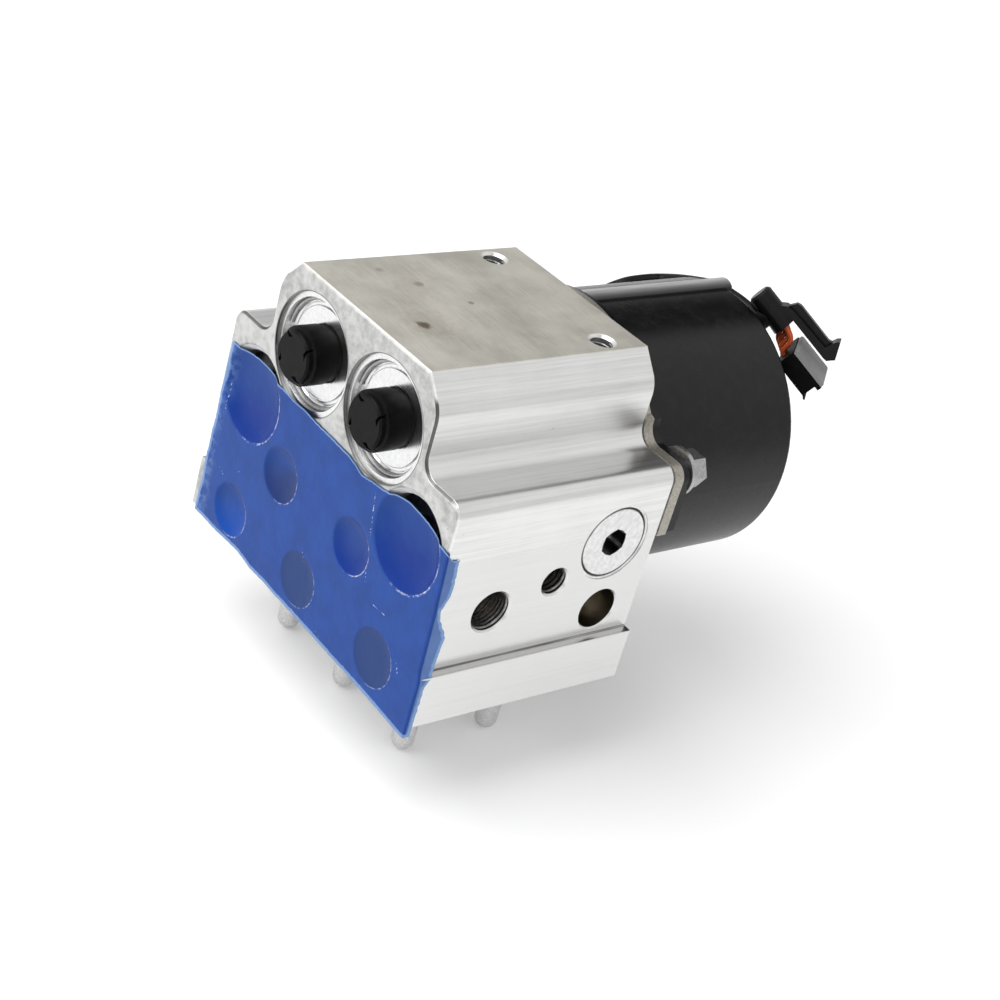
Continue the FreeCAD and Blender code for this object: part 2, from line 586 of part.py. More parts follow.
def armature_core():
    """A stack of sheets with slots that open through narrow mouths between the tooth tips."""
    body = new_body("armature_core")
    sketch = new_sketch(body, "Outline", "XY_Plane")
    ring(sketch, "0", "0", "core_radius")
    ring(sketch, "0", "0", "shaft_radius + fit_gap")
    extrude(body, "Stack", sketch, "core_length")
    slot_sketch = new_sketch(body, "SlotOutline", "XY_Plane")
    half, mouth = "core_slot_width / 2", "core_slot_mouth / 2"
    lip, deep = "core_radius - core_tooth_lip", "core_hub_radius + 4"
    outline(slot_sketch, [
        (deep, f"-{half} * 0.5"), (lip, f"-{half} * 1.5"), ("core_radius - 1.2", f"-{mouth}"),
        ("core_radius + 1", f"-{mouth}"), ("core_radius + 1", mouth), ("core_radius - 1.2", mouth),
        (lip, f"{half} * 1.5"), (deep, f"{half} * 0.5"),
    ])
    slot = extrude(body, "Slot", slot_sketch, "core_length", "PartDesign::Pocket", backwards=True)
    around = body.newObject("PartDesign::PolarPattern", "Slots")
    around.Originals = [slot]
    around.Axis = (plane_of(body, "Z_Axis"), [""])
    around.Angle = 360
    around.Occurrences = slot_count
    body.Tip = around
    keep(place(body, ("0", "core_front", "shaft_height"), along_y))


def armature_winding():
    """Copper end turns on both faces of the core, joined by the bars that lie in its slots."""
    body = new_body("armature_winding")
    for name, start, sign in (("Front", "-fit_gap", -1), ("Back", "core_length + fit_gap", 1)):
        turned(body, name + "Turns", outline(new_sketch(body, name + "Outline", "XZ_Plane"), [
            ("winding_inner_radius", start), ("winding_outer_radius", start),
            ("winding_outer_radius - 2.5", f"{start} + {sign} * winding_length"),
            ("winding_inner_radius + 2", f"{start} + {sign} * winding_length"),
        ]))
    sketch = new_sketch(body, "BarOutline", "XY_Plane", ("0", "0", "-1"))
    half = "(core_slot_width / 2 - 0.5)"
    outline(sketch, [
        ("core_hub_radius + 5", f"-{half} * 0.5"), ("winding_outer_radius - 2", f"-{half} * 1.3"),
        ("winding_outer_radius - 2", f"{half} * 1.3"), ("core_hub_radius + 5", f"{half} * 0.5"),
    ])
    bar = extrude(body, "Bar", sketch, "core_length + 2")
    around = body.newObject("PartDesign::PolarPattern", "Bars")
    around.Originals = [bar]
    around.Axis = (plane_of(body, "Z_Axis"), [""])
    around.Angle = 360
    around.Occurrences = slot_count
    body.Tip = around
    keep(place(body, ("0", "core_front", "shaft_height"), along_y))


# Motor case: flange plate, can, bearings, magnets and bolts

def flanged_slab(label, start, thickness, radius, inset):
    """A round flange with a lug on each side, trimmed to the block's profile."""
    slab = new_body(label + "_slab")
    profile_slab(slab, "Slab", start, thickness)
    disc = new_body(label + "_disc")
    sketch = new_sketch(disc, "DiscOutline", "XZ_Plane", ("0", "0", f"-({start})"))
    ring(sketch, "0", "shaft_height", radius)
    extrude(disc, "Disc", sketch, thickness, backwards=True)
    for name, sign in (("Right", 1), ("Left", -1)):
        lug = new_sketch(disc, name + "LugOutline", "XZ_Plane", ("0", "0", f"-({start})"))
        end = f"{sign} * (body_half_width + lug_overhang - {inset})"
        outline(lug, [
            (f"{sign} * 20", "shaft_height + 4"), (f"{sign} * (plate_radius - 3)", "shaft_height - 5"),
            (end, f"{lug_z} - lug_length + {inset}"), (end, f"{shoulder_height} - {inset}"),
            (f"{sign} * ({neck_half_width} - 4)", f"{shoulder_height} + 8"),
            (f"{sign} * 20", f"{shoulder_height} + 8"),
        ])
        extrude(disc, name + "Lug", lug, thickness, backwards=True)
    trimmed = doc.addObject("Part::MultiCommon", label + "_trimmed")
    trimmed.Shapes = [slab, disc]
    return trimmed


def cylinder(name, radius, length, at, turn=along_y):
    piece = doc.addObject("Part::Cylinder", name)
    piece.Radius = value(radius)
    piece.Height = value(length)
    piece.setExpression("Radius", bound(radius))
    piece.setExpression("Height", bound(length))
    return place(piece, at, turn)


def bolt_holes(name, start, length):
    """A clearance hole in each lug."""
    return [cylinder(f"{name}_{side}", "bolt_radius + hole_gap", length, (f"{sign} * {lug_x}", start, lug_z))
            for side, sign in (("right", 1), ("left", -1))]


def cut(label, base, tools):
    joined = doc.addObject("Part::MultiFuse", label + "_holes")
    joined.Shapes = tools
    result = doc.addObject("Part::Cut", label)
    result.Base = base
    result.Tool = joined
    return keep(result, label)


def fused(name, shapes):
    result = doc.addObject("Part::MultiFuse", name)
    result.Shapes = shapes
    return result


def flange_plate():
    start = "block_depth / 2 + fit_gap"
    plate = flanged_slab("flange_plate_base", start, "plate_thickness", "plate_radius", "0.2")
    boss = cylinder("flange_plate_boss", "plate_boss_radius", "bearing_width + bearing_lip",
                    ("0", start, "shaft_height"))
    seat = cylinder("flange_plate_seat", "bearing_radius + fit_gap", "bearing_width + 1",
                    ("0", f"{start} + bearing_lip", "shaft_height"))
    through = cylinder("flange_plate_through", "bearing_radius - 2", "bearing_width + 4",
                       ("0", "block_depth / 2 - 1", "shaft_height"))
    cut("flange_plate", fused("flange_plate_solid", [plate, boss]),
        [seat, through] + bolt_holes("flange_plate_bolt", "block_depth / 2 - 1", "plate_thickness + 2"))


can_front = "(block_depth / 2 + 2 * fit_gap + plate_thickness)"


def motor_can():
    """A deep-drawn can with a flange and two lugs at its open end and a bearing pocket in its closed end."""
    flange = flanged_slab("motor_can_flange", can_front, "can_flange", "plate_radius - 0.8", "1")
    shell = new_body("motor_can_shell")
    inner = "can_radius - can_wall"
    pocket = "can_back + can_pocket_length"
    turned(shell, "Drawing", outline(new_sketch(shell, "Outline", "XZ_Plane"), [
        (inner, can_front), ("can_radius", can_front), ("can_radius", "can_back - can_edge_radius"),
        ("can_radius - can_edge_radius", "can_back"), ("can_pocket_radius + 2", "can_back"),
        ("can_pocket_radius", "can_back + 2"), ("can_pocket_radius", f"{pocket} - 1"),
        ("can_pocket_radius - 1", pocket), ("0", pocket), ("0", f"{pocket} - can_wall"),
        ("bush_radius + fit_gap", f"{pocket} - can_wall"), ("bush_radius + fit_gap", "can_back - can_wall"),
        (inner, "can_back - can_wall"),
    ], {2: "can_edge_radius", 4: "-2", 6: "1"}))
    place(shell, axis_place, along_y)
    opening = cylinder("motor_can_opening", inner, "can_flange + 2",
                       ("0", f"{can_front} - 1", "shaft_height"))
    lead_hole = cylinder("motor_can_lead_hole", "grommet_neck_radius + fit_gap", "can_wall + 2",
                         ("grommet_x", "can_back - can_wall - 1", "grommet_z"))
    cut("motor_can", fused("motor_can_solid", [flange, shell]),
        [opening, lead_hole] + bolt_holes("motor_can_bolt", f"{can_front} - 1", "can_flange + 2"))


def ball_bearing():
    """A closed ball bearing in the flange plate, with its shields set back."""
    turned_piece("front_bearing", [
        ("shaft_radius + running_gap", "0"), ("shaft_radius + 2.4", "0"), ("shaft_radius + 2.4", "0.6"),
        ("bearing_radius - 2.2", "0.6"), ("bearing_radius - 2.2", "0"), ("bearing_radius", "0"),
        ("bearing_radius", "bearing_width"), ("bearing_radius - 2.2", "bearing_width"),
        ("bearing_radius - 2.2", "bearing_width - 0.6"), ("shaft_radius + 2.4", "bearing_width - 0.6"),
        ("shaft_radius + 2.4", "bearing_width"), ("shaft_radius + running_gap", "bearing_width"),
    ], ("0", "block_depth / 2 + fit_gap + bearing_lip", "shaft_height"), along_y)
    turned_piece("rear_bush", [
        ("shaft_radius + running_gap", "0"), ("bush_radius", "0"), ("bush_radius", "bush_length"),
        ("shaft_radius + running_gap", "bush_length"),
    ], ("0", "can_back + can_pocket_length - can_wall - bush_length - fit_gap", "shaft_height"), along_y)


def magnets():
    """Two curved magnets glued inside the can, as one group of two solids."""
    inner, outer = "magnet_inner_radius", "can_radius - can_wall - fit_gap"
    halves = []
    for name, middle in (("upper", 90), ("lower", 270)):
        body = new_body("magnet_" + name)
        sketch = new_sketch(body, "Outline", "XY_Plane")
        start, stop = (math.radians(middle + side * sizes["magnet_angle"] / 2) for side in (-1, 1))
        ends = [(radius, math.cos(angle), math.sin(angle)) for radius, angle in
                ((inner, start), (outer, start), (outer, stop), (inner, stop))]
        bow = f"({outer}) + 0.0001"
        outline(sketch, [(f"({r}) * {c:.6f}", f"({r}) * {s:.6f}") for r, c, s in ends],
                {1: bow, 3: f"-({inner})"})
        extrude(body, "Magnet", sketch, "core_length + 2 * magnet_overhang")
        halves.append(place(body, ("0", "core_front - magnet_overhang", "shaft_height"), along_y))
    keep(group("magnets", halves))


def group(label, pieces):
    """One node made of separate solids."""
    result = doc.addObject("Part::Compound", label)
    result.Links = pieces
    return result


def motor_bolts():
    bolts, washers = [], []
    seat = f"{can_front} + can_flange + fit_gap"
    for name, x in (("right", lug_x), ("left", f"-{lug_x}")):
        body = new_body("motor_bolt_" + name)
        length = "bolt_length"
        turned(body, "Turning", outline(new_sketch(body, "Outline", "XZ_Plane"), [
            ("0", f"-{length}"), ("bolt_radius - 1", f"-{length}"),
            ("bolt_radius - fit_gap", f"1 - {length}"), ("bolt_radius - fit_gap", "0"),
            ("bolt_flange_radius", "0"), ("bolt_flange_radius", "0.7"),
            ("bolt_flat", "bolt_flange_height"), ("0", "bolt_flange_height"),
        ]))
        head = new_sketch(body, "HeadOutline", "XY_Plane", ("0", "0", "bolt_flange_height - 0.4"))
        hexagon(head, "bolt_flat")
        extrude(body, "Head", head, "bolt_head_height + 0.4")
        bolts.append(place(body, (x, f"{seat} + washer_thickness", lug_z), along_y))
        washer = new_body("motor_washer_" + name)
        hole = "bolt_radius + hole_gap"
        turned(washer, "Turning", outline(new_sketch(washer, "Outline", "XZ_Plane"), [
            (hole, "0"), ("washer_radius", "0"), ("washer_radius", "washer_thickness - fit_gap"),
            (hole, "washer_thickness - fit_gap"),
        ]))
        washers.append(place(washer, (x, seat, lug_z), along_y))
    keep(group("motor_bolts", bolts))
    keep(group("motor_washers", washers))


# Brush gear

def brush_gear():
    """A round holder with two open-ended boxes, and in each a brush pressed on the commutator by a spring."""
    body = new_body("brush_holder")
    plate = new_sketch(body, "PlateOutline", "XY_Plane")
    ring(plate, "0", "0", "holder_radius")
    ring(plate, "0", "0", "holder_bore_radius")
    extrude(body, "Plate", plate, "holder_thickness")
    inner_w, inner_h = "(brush_width / 2 + running_gap)", "(brush_height + 2 * running_gap)"
    wall, first = "brush_box_wall", "(holder_bore_radius + 0.5)"
    last = f"({first} + brush_box_length)"
    for name, sign in (("Right", 1), ("Left", -1)):
        box = new_sketch(body, name + "BoxOutline", "XY_Plane", ("0", "0", "holder_thickness"))
        near, far = f"{sign} * {first}", f"{sign} * {last}"
        side = f"({inner_w} + {wall})"
        outline(box, [(near, f"-{side}"), (far, f"-{side}"), (far, side), (near, side)])
        extrude(body, name + "Box", box, f"{inner_h} + {wall}")
        hollow = new_sketch(body, name + "HollowOutline", "XY_Plane", ("0", "0", "holder_thickness"))
        stop = f"{sign} * ({last} - {wall})"
        start = f"{sign} * ({first} - 1)"
        outline(hollow, [(start, f"-{inner_w}"), (stop, f"-{inner_w}"), (stop, inner_w), (start, inner_w)])
        extrude(body, name + "Hollow", hollow, inner_h, "PartDesign::Pocket", backwards=True)
    keep(place(body, ("0", "holder_y", "shaft_height"), along_y))
    for side, sign in (("right", 1), ("left", -1)):
        brush = new_body("brush_" + side)
        block = new_sketch(brush, "Outline", "XY_Plane", ("0", "0", "holder_thickness + running_gap"))
        near = "commutator_radius + brush_gap"
        far = f"{near} + brush_length"
        outline(block, [(f"{sign} * ({near})", "-brush_width / 2"), (f"{sign} * ({far})", "-brush_width / 2"),
                        (f"{sign} * ({far})", "brush_width / 2"), (f"{sign} * ({near})", "brush_width / 2")])
        extrude(brush, "Block", block, "brush_height")
        keep(place(brush, ("0", "holder_y", "shaft_height"), along_y))
        middle = "holder_y + holder_thickness + running_gap + brush_height / 2"
        spring("brush_spring_" + side, "brush_width / 2 - 0.7", "brush_spring_wire",
               f"{last} - {wall} - ({far})", 5,
               (f"{sign} * ({far})", middle, "shaft_height"), along_x if sign > 0 else along_minus_x)


# Leads and connector

# The connector hangs askew behind the can. In its own frame X runs to its mating end, Y along its width and
# Z up.
connector_turn = Rotation(Vector(0.6995, 0.4601, -0.5469), Vector(-0.6021, 0.7916, -0.1042),
                          Vector(0.385, 0.4022, 0.8307), "XYZ")
connector_place = ("connector_x", "connector_y", "connector_z")
wire_count = 4
# The lead's way: its angle round the motor, its distance from the motor's axis, where 1 lies on the can, and
# its depth.
lead_route = [(151, 1, f"{can_front} + can_flange + fit_gap"), (151, 1, "can_back * 0.56"),
              (154.5, 1, "can_back * 0.71"), (149.1, 1, "can_back * 0.816"), (138.8, 1, "can_back * 0.871"),
              (137, 1, "can_back * 0.955"), (137.6, 0.997, "can_back * 1.024"),
              (124.7, 0.935, "can_back * 1.034"), (98, 0.925, "can_back * 1.032")]


def tube(route, radius):
    """A round tube along straight runs joined by tangent arcs, each as large as its runs allow."""
    corners = [Vector(*spot) for spot in route]
    edges, here, radii = [], corners[0], []
    for before, at, after in zip(corners, corners[1:], corners[2:]):
        into, out = (at - before).normalize(), (after - at).normalize()
        turn = into.getAngle(out)
        reach = 0.45 * min((at - before).Length, (after - at).Length)
        bend = reach / math.tan(turn / 2)
        start, stop = at - into * reach, at + out * reach
        towards = (out - into).normalize()
        middle = at + towards * (math.hypot(reach, bend) - bend)
        edges += [Part.LineSegment(here, start).toShape(), Part.Arc(start, middle, stop).toShape()]
        here = stop
        radii.append(round(bend, 1))
    edges.append(Part.LineSegment(here, corners[-1]).toShape())
    spine = Part.Wire(edges)
    profile = Part.Wire(Part.Circle(corners[0], corners[1] - corners[0], radius).toShape())
    solid = spine.makePipeShell([profile], True, False)
    expected = math.pi * radius ** 2 * spine.Length
    print("tube radii", radii, "volume", round(solid.Volume), "expected", round(expected))
    return solid


def feature(label, shape, at=("0", "0", "0"), turn=None):
    piece = doc.addObject("Part::Feature", label)
    piece.Shape = shape
    return keep(place(piece, at, turn))


def ring_point(angle, radius, y):
    """A point on a circle round the motor's axis."""
    turn = math.radians(angle)
    return (radius * math.cos(turn), y, value("shaft_height") + radius * math.sin(turn))


def leads():
    """The sleeve on top of the can, and the lead that runs along its far side and over its rear edge."""
    sleeve = new_body("lead_sleeve_bar")
    sketch = new_sketch(sleeve, "Outline", "XY_Plane")
    low, half = "can_radius - 0.2", "sleeve_width / 2"
    outline(sketch, [(low, f"-{half}"), ("can_radius + sleeve_edge", f"-{half}"),
                     ("can_radius + sleeve_edge", half), (low, half)], {1: "sleeve_width * 0.61"})
    extrude(sleeve, "Length", sketch, f"can_back + sleeve_overhang - {can_front} - can_flange - fit_gap")
    turn = Rotation(Vector(0, 1, 0), -sizes["sleeve_angle"]).multiply(along_y)
    place(sleeve, ("0", f"{can_front} + can_flange + fit_gap", "shaft_height"), turn)
    can = cylinder("lead_sleeve_seat", "can_radius + fit_gap", "can_back + 9", ("0", "0", "shaft_height"))
    seated = doc.addObject("Part::Cut", "lead_sleeve")
    seated.Base = sleeve
    seated.Tool = can
    keep(seated, "lead_sleeve")
    feature("signal_lead", lead_tube("lead_radius"))


def lead_tube(radius):
    """The lead's own tube, or a wider one for its socket in the boot, into which it runs at the end."""
    lie = value("can_radius + lead_radius + lead_clearance")
    route = [ring_point(angle, lie * reach, value(along)) for angle, reach, along in lead_route]
    spot = ("-boot_stalk_x - boot_stalk_radius * 0.3", "connector_depth / 2", "-boot_radius * 1.33")
    return tube(route + [connector_point([value(text) for text in spot])], value(radius))


def connector_point(spot):
    """A place given in the connector's own frame."""
    base = Vector(*[value(text) for text in connector_place])
    return tuple(base + connector_turn.multVec(Vector(*spot)))


def lead_boot():
    """The moulded boot: a barrel, a base on the can with a neck through the wall, and a cranked latch arm."""
    body = new_body("lead_boot_moulding")
    depth = "connector_depth / 2"
    barrel = new_sketch(body, "BarrelOutline", "XZ_Plane", ("0", "-boot_drop", f"-({depth})"))
    outline(barrel, [
        ("-boot_start", "0"), ("-boot_start", "boot_radius - 0.8"), ("0.8 - boot_start", "boot_radius"),
        ("-boot_end - 4", "boot_radius"), ("-boot_end", "boot_radius + 0.3"),
        ("-boot_end", "boot_mouth_radius"), ("-boot_end - boot_mouth_depth", "boot_mouth_radius"),
        ("-boot_end - boot_mouth_depth", "0"),
    ])
    turned(body, "Barrel", barrel, "H_Axis")
    stalk = new_sketch(body, "StalkOutline", "XY_Plane", ("-boot_stalk_x", depth, "-boot_drop"))
    ring(stalk, "0", "0", "boot_stalk_radius")
    extrude(body, "Stalk", stalk, "boot_stalk_length", backwards=True)
    half = "arm_width / 2"
    beam = new_sketch(body, "BeamOutline", "XZ_Plane", ("0", "0", f"-({depth}) - {half}"))
    outline(beam, [
        ("-boot_end - 7", "boot_radius - 1.6"), ("-boot_end - 1.5", "boot_radius - 1.6"),
        ("-boot_end - 0.5", "arm_low"), ("8.2", "arm_low + 0.1"), ("9.6", "arm_low + 0.3"),
        ("11.1", "arm_low + 2.7"), ("7.4", "arm_top + 3"), ("6.6", "arm_top + 1.8"),
        ("5.9", "arm_shelf + 0.6"), ("-9.6", "arm_shelf"), ("-12", "arm_shelf - 0.8"),
    ])
    extrude(body, "Beam", beam, "arm_width")
    rib = new_sketch(body, "RibOutline", "XZ_Plane", ("0", "0", f"-({depth}) - arm_rib_width / 2"))
    outline(rib, [
        ("-12", "arm_shelf - 1.6"), ("6.8", "arm_shelf - 0.4"), ("8.3", "arm_top + 1.6"), ("5.1", "arm_top"),
        ("-9", "arm_top"), ("-10.4", "arm_top - 0.5"),
    ])
    extrude(body, "Rib", rib, "arm_rib_width")
    place(body, connector_place, connector_turn)
    front = doc.addObject("Part::Box", "lead_boot_front")
    for name in ("Length", "Width", "Height"):
        setattr(front, name, 120)
    place(front, ("-60", "can_back + fit_gap - 120", "0"))
    upper = doc.addObject("Part::Cut", "lead_boot_upper")
    upper.Base = body
    upper.Tool = front
    base = new_body("lead_boot_base")
    inside = "-can_wall - fit_gap"
    turned(base, "Turning", outline(new_sketch(base, "Outline", "XZ_Plane"), [
        ("0", f"{inside} - 1.2"), ("grommet_neck_radius + 0.8", f"{inside} - 1.2"),
        ("grommet_neck_radius + 0.8", inside), ("grommet_neck_radius", inside),
        ("grommet_neck_radius", "fit_gap"), ("grommet_radius", "fit_gap"),
        ("grommet_radius", "grommet_length - 1"), ("grommet_radius - 1", "grommet_length"),
        ("0", "grommet_length"),
    ]))
    place(base, ("grommet_x", "can_back", "grommet_z"), along_y)
    socket = doc.addObject("Part::Feature", "lead_boot_socket")
    socket.Shape = lead_tube("lead_radius + fit_gap")
    boot = doc.addObject("Part::Cut", "lead_boot")
    boot.Base = fused("lead_boot_solid", [upper, base])
    boot.Tool = socket
    keep(boot, "lead_boot")


def connector():
    """The plug at the end of the leads: a housing with four cavities, its lock plate and the four wires."""
    body = new_body("connector_housing")
    low, top = "-connector_height", "-lock_thickness - fit_gap"
    shell = new_sketch(body, "Outline", "XZ_Plane")
    outline(shell, [
        ("0", low), ("connector_length - connector_nose", low), ("connector_length - 0.4", f"{low} - 0.7"),
        ("connector_length", f"{low} - 0.3"), ("connector_length - connector_nose", f"{low} + 0.9"),
        ("connector_length - connector_nose", "-connector_nose_height"),
        ("connector_length", "-connector_nose_height"), ("connector_length", top), ("0", top),
    ])
    extrude(body, "Shell", shell, "connector_depth", backwards=True)
    middle, half = "(-connector_height - connector_nose_height) / 2", "cavity_width / 2"
    floor, ceiling = f"{middle} - {half}", f"{middle} + {half}"
    cavities = new_sketch(body, "CavityOutline", "YZ_Plane", ("0", "0", "connector_length - connector_nose"))
    for number in range(wire_count):
        across = f"connector_depth * {(number + 0.5) / wire_count}"
        near, far = f"{across} - {half}", f"{across} + {half}"
        outline(cavities, [(near, floor), (far, floor), (far, ceiling), (near, ceiling)])
    extrude(body, "Cavities", cavities, "cavity_depth", "PartDesign::Pocket")
    keep(place(body, connector_place, connector_turn))
    lock = new_body("connector_lock")
    plate = new_sketch(lock, "Outline", "XZ_Plane")
    outline(plate, [
        ("0.4", "-lock_thickness"), ("connector_length - 0.3", "-lock_thickness"),
        ("connector_length - 0.3", "-0.4"), ("connector_length - 0.9", "0"), ("1", "0"), ("0.4", "-0.4"),
    ])
    extrude(lock, "Plate", plate, "connector_depth", backwards=True)
    keep(place(lock, connector_place, connector_turn))
    wires = []
    foot = -value("connector_height") + 1.6
    radius = value("wire_radius")
    inside = -value("boot_end + boot_mouth_depth")
    for number in range(wire_count):
        across = value("connector_depth") / 2 + (number - (wire_count - 1) / 2) * value("wire_pitch")
        out = -value("wire_start") - number * value("wire_pitch") * 0.88
        high = radius - value("boot_drop") * 1.25
        route = [(0, across, foot), (out, across, foot), (out - 0.6, across, high), (inside, across, high)]
        wires.append(tube(route, radius))
    feature("connector_wires", Part.Compound(wires), connector_place, connector_turn)


def port_film():
    """The film over the lower front, folded round the right edge and over the ledge."""
    body = new_body("port_film")
    front = "-block_depth / 2 - film_gap - film_thickness"
    sheet_outline = new_sketch(body, "FrontOutline", "XZ_Plane", ("0", "0", f"-({front})"))
    side = "body_half_width + film_gap + film_thickness"
    foot = f"{ledge_half_width} + film_gap + film_thickness"
    fold = "ledge_height + film_gap"
    outline(sheet_outline, [
        (f"-{ledge_half_width}", "film_bottom"), (foot, "film_bottom"), (foot, fold),
        (side, fold), (side, "film_top_right"), ("-body_half_width", "film_top_left"),
        ("-body_half_width", "ledge_height"), (f"-{ledge_half_width}", "ledge_height"),
    ])
    extrude(body, "Front", sheet_outline, "film_thickness", backwards=True)
    for name, near, bottom, top in (("Side", "body_half_width + film_gap", fold, "film_top_right - 2"),
                                    ("Foot", f"{ledge_half_width} + film_gap", "film_bottom", fold)):
        flap = new_sketch(body, name + "Outline", "YZ_Plane", ("0", "0", near))
        end = f"{front} + film_wrap"
        outline(flap, [(front, bottom), (end, bottom), (end, top), (front, top)])
        extrude(body, name, flap, "film_thickness")
    keep(body)


valve_block()
for side, sign in (("right", 1), ("left", -1)):
    accumulator(side, sign)
    vent_cap(side, sign)
    damper_plug(side, sign)
    pump_element(side, sign)
for column, x in (("left", "-valve_spacing_x"), ("middle", "0"), ("right", "valve_spacing_x")):
    for row, y in (("front", "valve_front_y"), ("back", "valve_back_y")):
        solenoid_valve(f"{row}_{column}", x, y)
rotor()
flange_plate()
motor_can()
ball_bearing()
magnets()
motor_bolts()
brush_gear()
leads()
lead_boot()
connector()
port_film()

doc.recompute()
for item in doc.Objects:
    if "Invalid" in item.State or "Error" in item.State:
        raise RuntimeError(f"{item.Label} failed: {item.State}")
for piece in parts:
    if piece.Shape.isNull() or not piece.Shape.isValid():
        raise RuntimeError(f"{piece.Label} has no valid shape")
os.makedirs("parts", exist_ok=True)
for piece in parts:
    piece.Shape.exportStep(f"parts/{piece.Label}.step")
print(len(parts), "pieces")
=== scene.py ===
import math

import bmesh
import bpy
from mathutils import Matrix, Vector, noise


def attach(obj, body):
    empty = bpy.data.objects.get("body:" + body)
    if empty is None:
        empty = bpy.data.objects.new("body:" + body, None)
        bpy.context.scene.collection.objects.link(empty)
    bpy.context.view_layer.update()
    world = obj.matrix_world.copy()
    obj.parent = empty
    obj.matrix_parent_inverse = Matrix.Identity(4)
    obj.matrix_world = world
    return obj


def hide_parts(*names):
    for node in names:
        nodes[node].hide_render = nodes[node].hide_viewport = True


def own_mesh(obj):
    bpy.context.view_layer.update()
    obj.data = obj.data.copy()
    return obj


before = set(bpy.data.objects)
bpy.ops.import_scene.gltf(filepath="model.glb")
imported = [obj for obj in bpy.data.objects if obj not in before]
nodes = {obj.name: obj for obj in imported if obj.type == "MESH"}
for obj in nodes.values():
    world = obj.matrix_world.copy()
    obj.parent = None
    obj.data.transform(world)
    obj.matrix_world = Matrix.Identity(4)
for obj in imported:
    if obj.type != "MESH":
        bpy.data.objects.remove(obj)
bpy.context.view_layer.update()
mm = 0.001
perMetre = 1000
print("frame loaded:", len(nodes), "nodes")

# the camera stands in front of the right corner and looks down on the block

camera = {
    # metres, degrees and millimetres
    "place": (0.37933, -0.35865, 0.32634),
    "turn": (60.137, -14.4314, 52.3343),
    "lens": 71.82,
    "sensor": 36,
    "nearest": 0.01,
}

view = bpy.data.objects.new("camera", bpy.data.cameras.new("camera"))
bpy.context.collection.objects.link(view)
view.location = camera["place"]
view.rotation_euler = [math.radians(a) for a in camera["turn"]]
view.data.lens = camera["lens"]
view.data.sensor_width = camera["sensor"]
view.data.clip_start = camera["nearest"]
bpy.context.scene.camera = view
print("camera set")


# one value in a node tree, so that shader sums read as sums
class Value:
    def __init__(self, tree, socket=None):
        self.tree = tree
        self.socket = socket

    # adds a node: its settings first, then the values or links of its sockets
    def make(self, kind, settings=None, sockets=None, output=0):
        node = self.tree.nodes.new(kind)
        for name, setting in (settings or {}).items():
            setattr(node, name, setting)
        for key, entry in (sockets or {}).items():
            if isinstance(entry, Value):
                self.tree.links.new(entry.socket, node.inputs[key])
            else:
                node.inputs[key].default_value = entry
        return Value(self.tree, node.outputs[output])

    def sum(self, operation, *entries, clamp=False):
        settings = {"operation": operation, "use_clamp": clamp}
        return self.make("ShaderNodeMath", settings, dict(enumerate(entries)))

    def __add__(self, other):
        return self.sum("ADD", self, other)

    def __radd__(self, other):
        return self.sum("ADD", other, self)

    def __sub__(self, other):
        return self.sum("SUBTRACT", self, other)

    def __rsub__(self, other):
        return self.sum("SUBTRACT", other, self)

    def __mul__(self, other):
        return self.sum("MULTIPLY", self, other)

    def __truediv__(self, other):
        return self.sum("DIVIDE", self, other)

    # 0 below low, 1 above high, and a soft slope between
    def rise(self, low, high):
        return self.make("ShaderNodeMapRange", {"interpolation_type": "SMOOTHSTEP"},
                         {"Value": self, "From Min": low, "From Max": high})

    # 1 between low and high, with soft edges
    def band(self, low, high, soft):
        return self.rise(low - soft, low + soft) * (1 - self.rise(high - soft, high + soft))

    def clamp(self):
        return self.sum("ADD", self, 0.0, clamp=True)

    def parts(self):
        split = self.make("ShaderNodeSeparateXYZ", sockets={0: self}).socket.node
        return [Value(self.tree, split.outputs[i]) for i in range(3)]

    def millimetres(self):
        return [part * perMetre for part in self.parts()]

    # the place in millimetres, for patterns: a scale under 1 draws them out along an axis, 0 drops the axis
    def stretch(self, x=1.0, y=1.0, z=1.0):
        scale = (perMetre * x, perMetre * y, perMetre * z)
        return self.make("ShaderNodeMapping", sockets={"Vector": self, "Scale": scale})

    # noise round 0.5, with its size given as spots to the millimetre
    def grain(self, scale, detail=3.0, roughness=0.55, bend=0.0):
        return self.make("ShaderNodeTexNoise", sockets={
            "Vector": self, "Scale": scale, "Detail": detail, "Roughness": roughness, "Distortion": bend})

    def away(self, *centre):
        return self.make("ShaderNodeVectorMath", {"operation": "DISTANCE"}, {0: self, 1: centre}, output=1)


def opaque(color):
    return color if isinstance(color, Value) else (*color, 1)


# sockets 6 and 7 are the node's colour inputs, and output 2 is its colour result
def mixColor(mask, low, high):
    sockets = {0: mask, 6: opaque(low), 7: opaque(high)}
    return mask.make("ShaderNodeMix", {"data_type": "RGBA"}, sockets, output=2)


# a grey from one number, while a colour stays as it is
def gray(level):
    return level if isinstance(level, tuple) else (level, level, level)


def squared(low, high):
    return low * low, high * high


# a material, its shader and the object's own coordinates
def newFinish(name, roughness=0.5, metallic=0.0, specular=0.5):
    material = bpy.data.materials.new(name)
    material.use_nodes = True
    shader = material.node_tree.nodes["Principled BSDF"]
    shader.inputs["Roughness"].default_value = roughness
    shader.inputs["Metallic"].default_value = metallic
    shader.inputs["Specular IOR Level"].default_value = specular
    spot = Value(material.node_tree).make("ShaderNodeTexCoord", output=3)
    return material, shader, spot


def feed(shader, name, entry):
    socket = shader.inputs[name]
    if isinstance(entry, Value):
        shader.id_data.links.new(entry.socket, socket)
    else:
        socket.default_value = entry if isinstance(entry, (int, float)) else (*entry, 1)


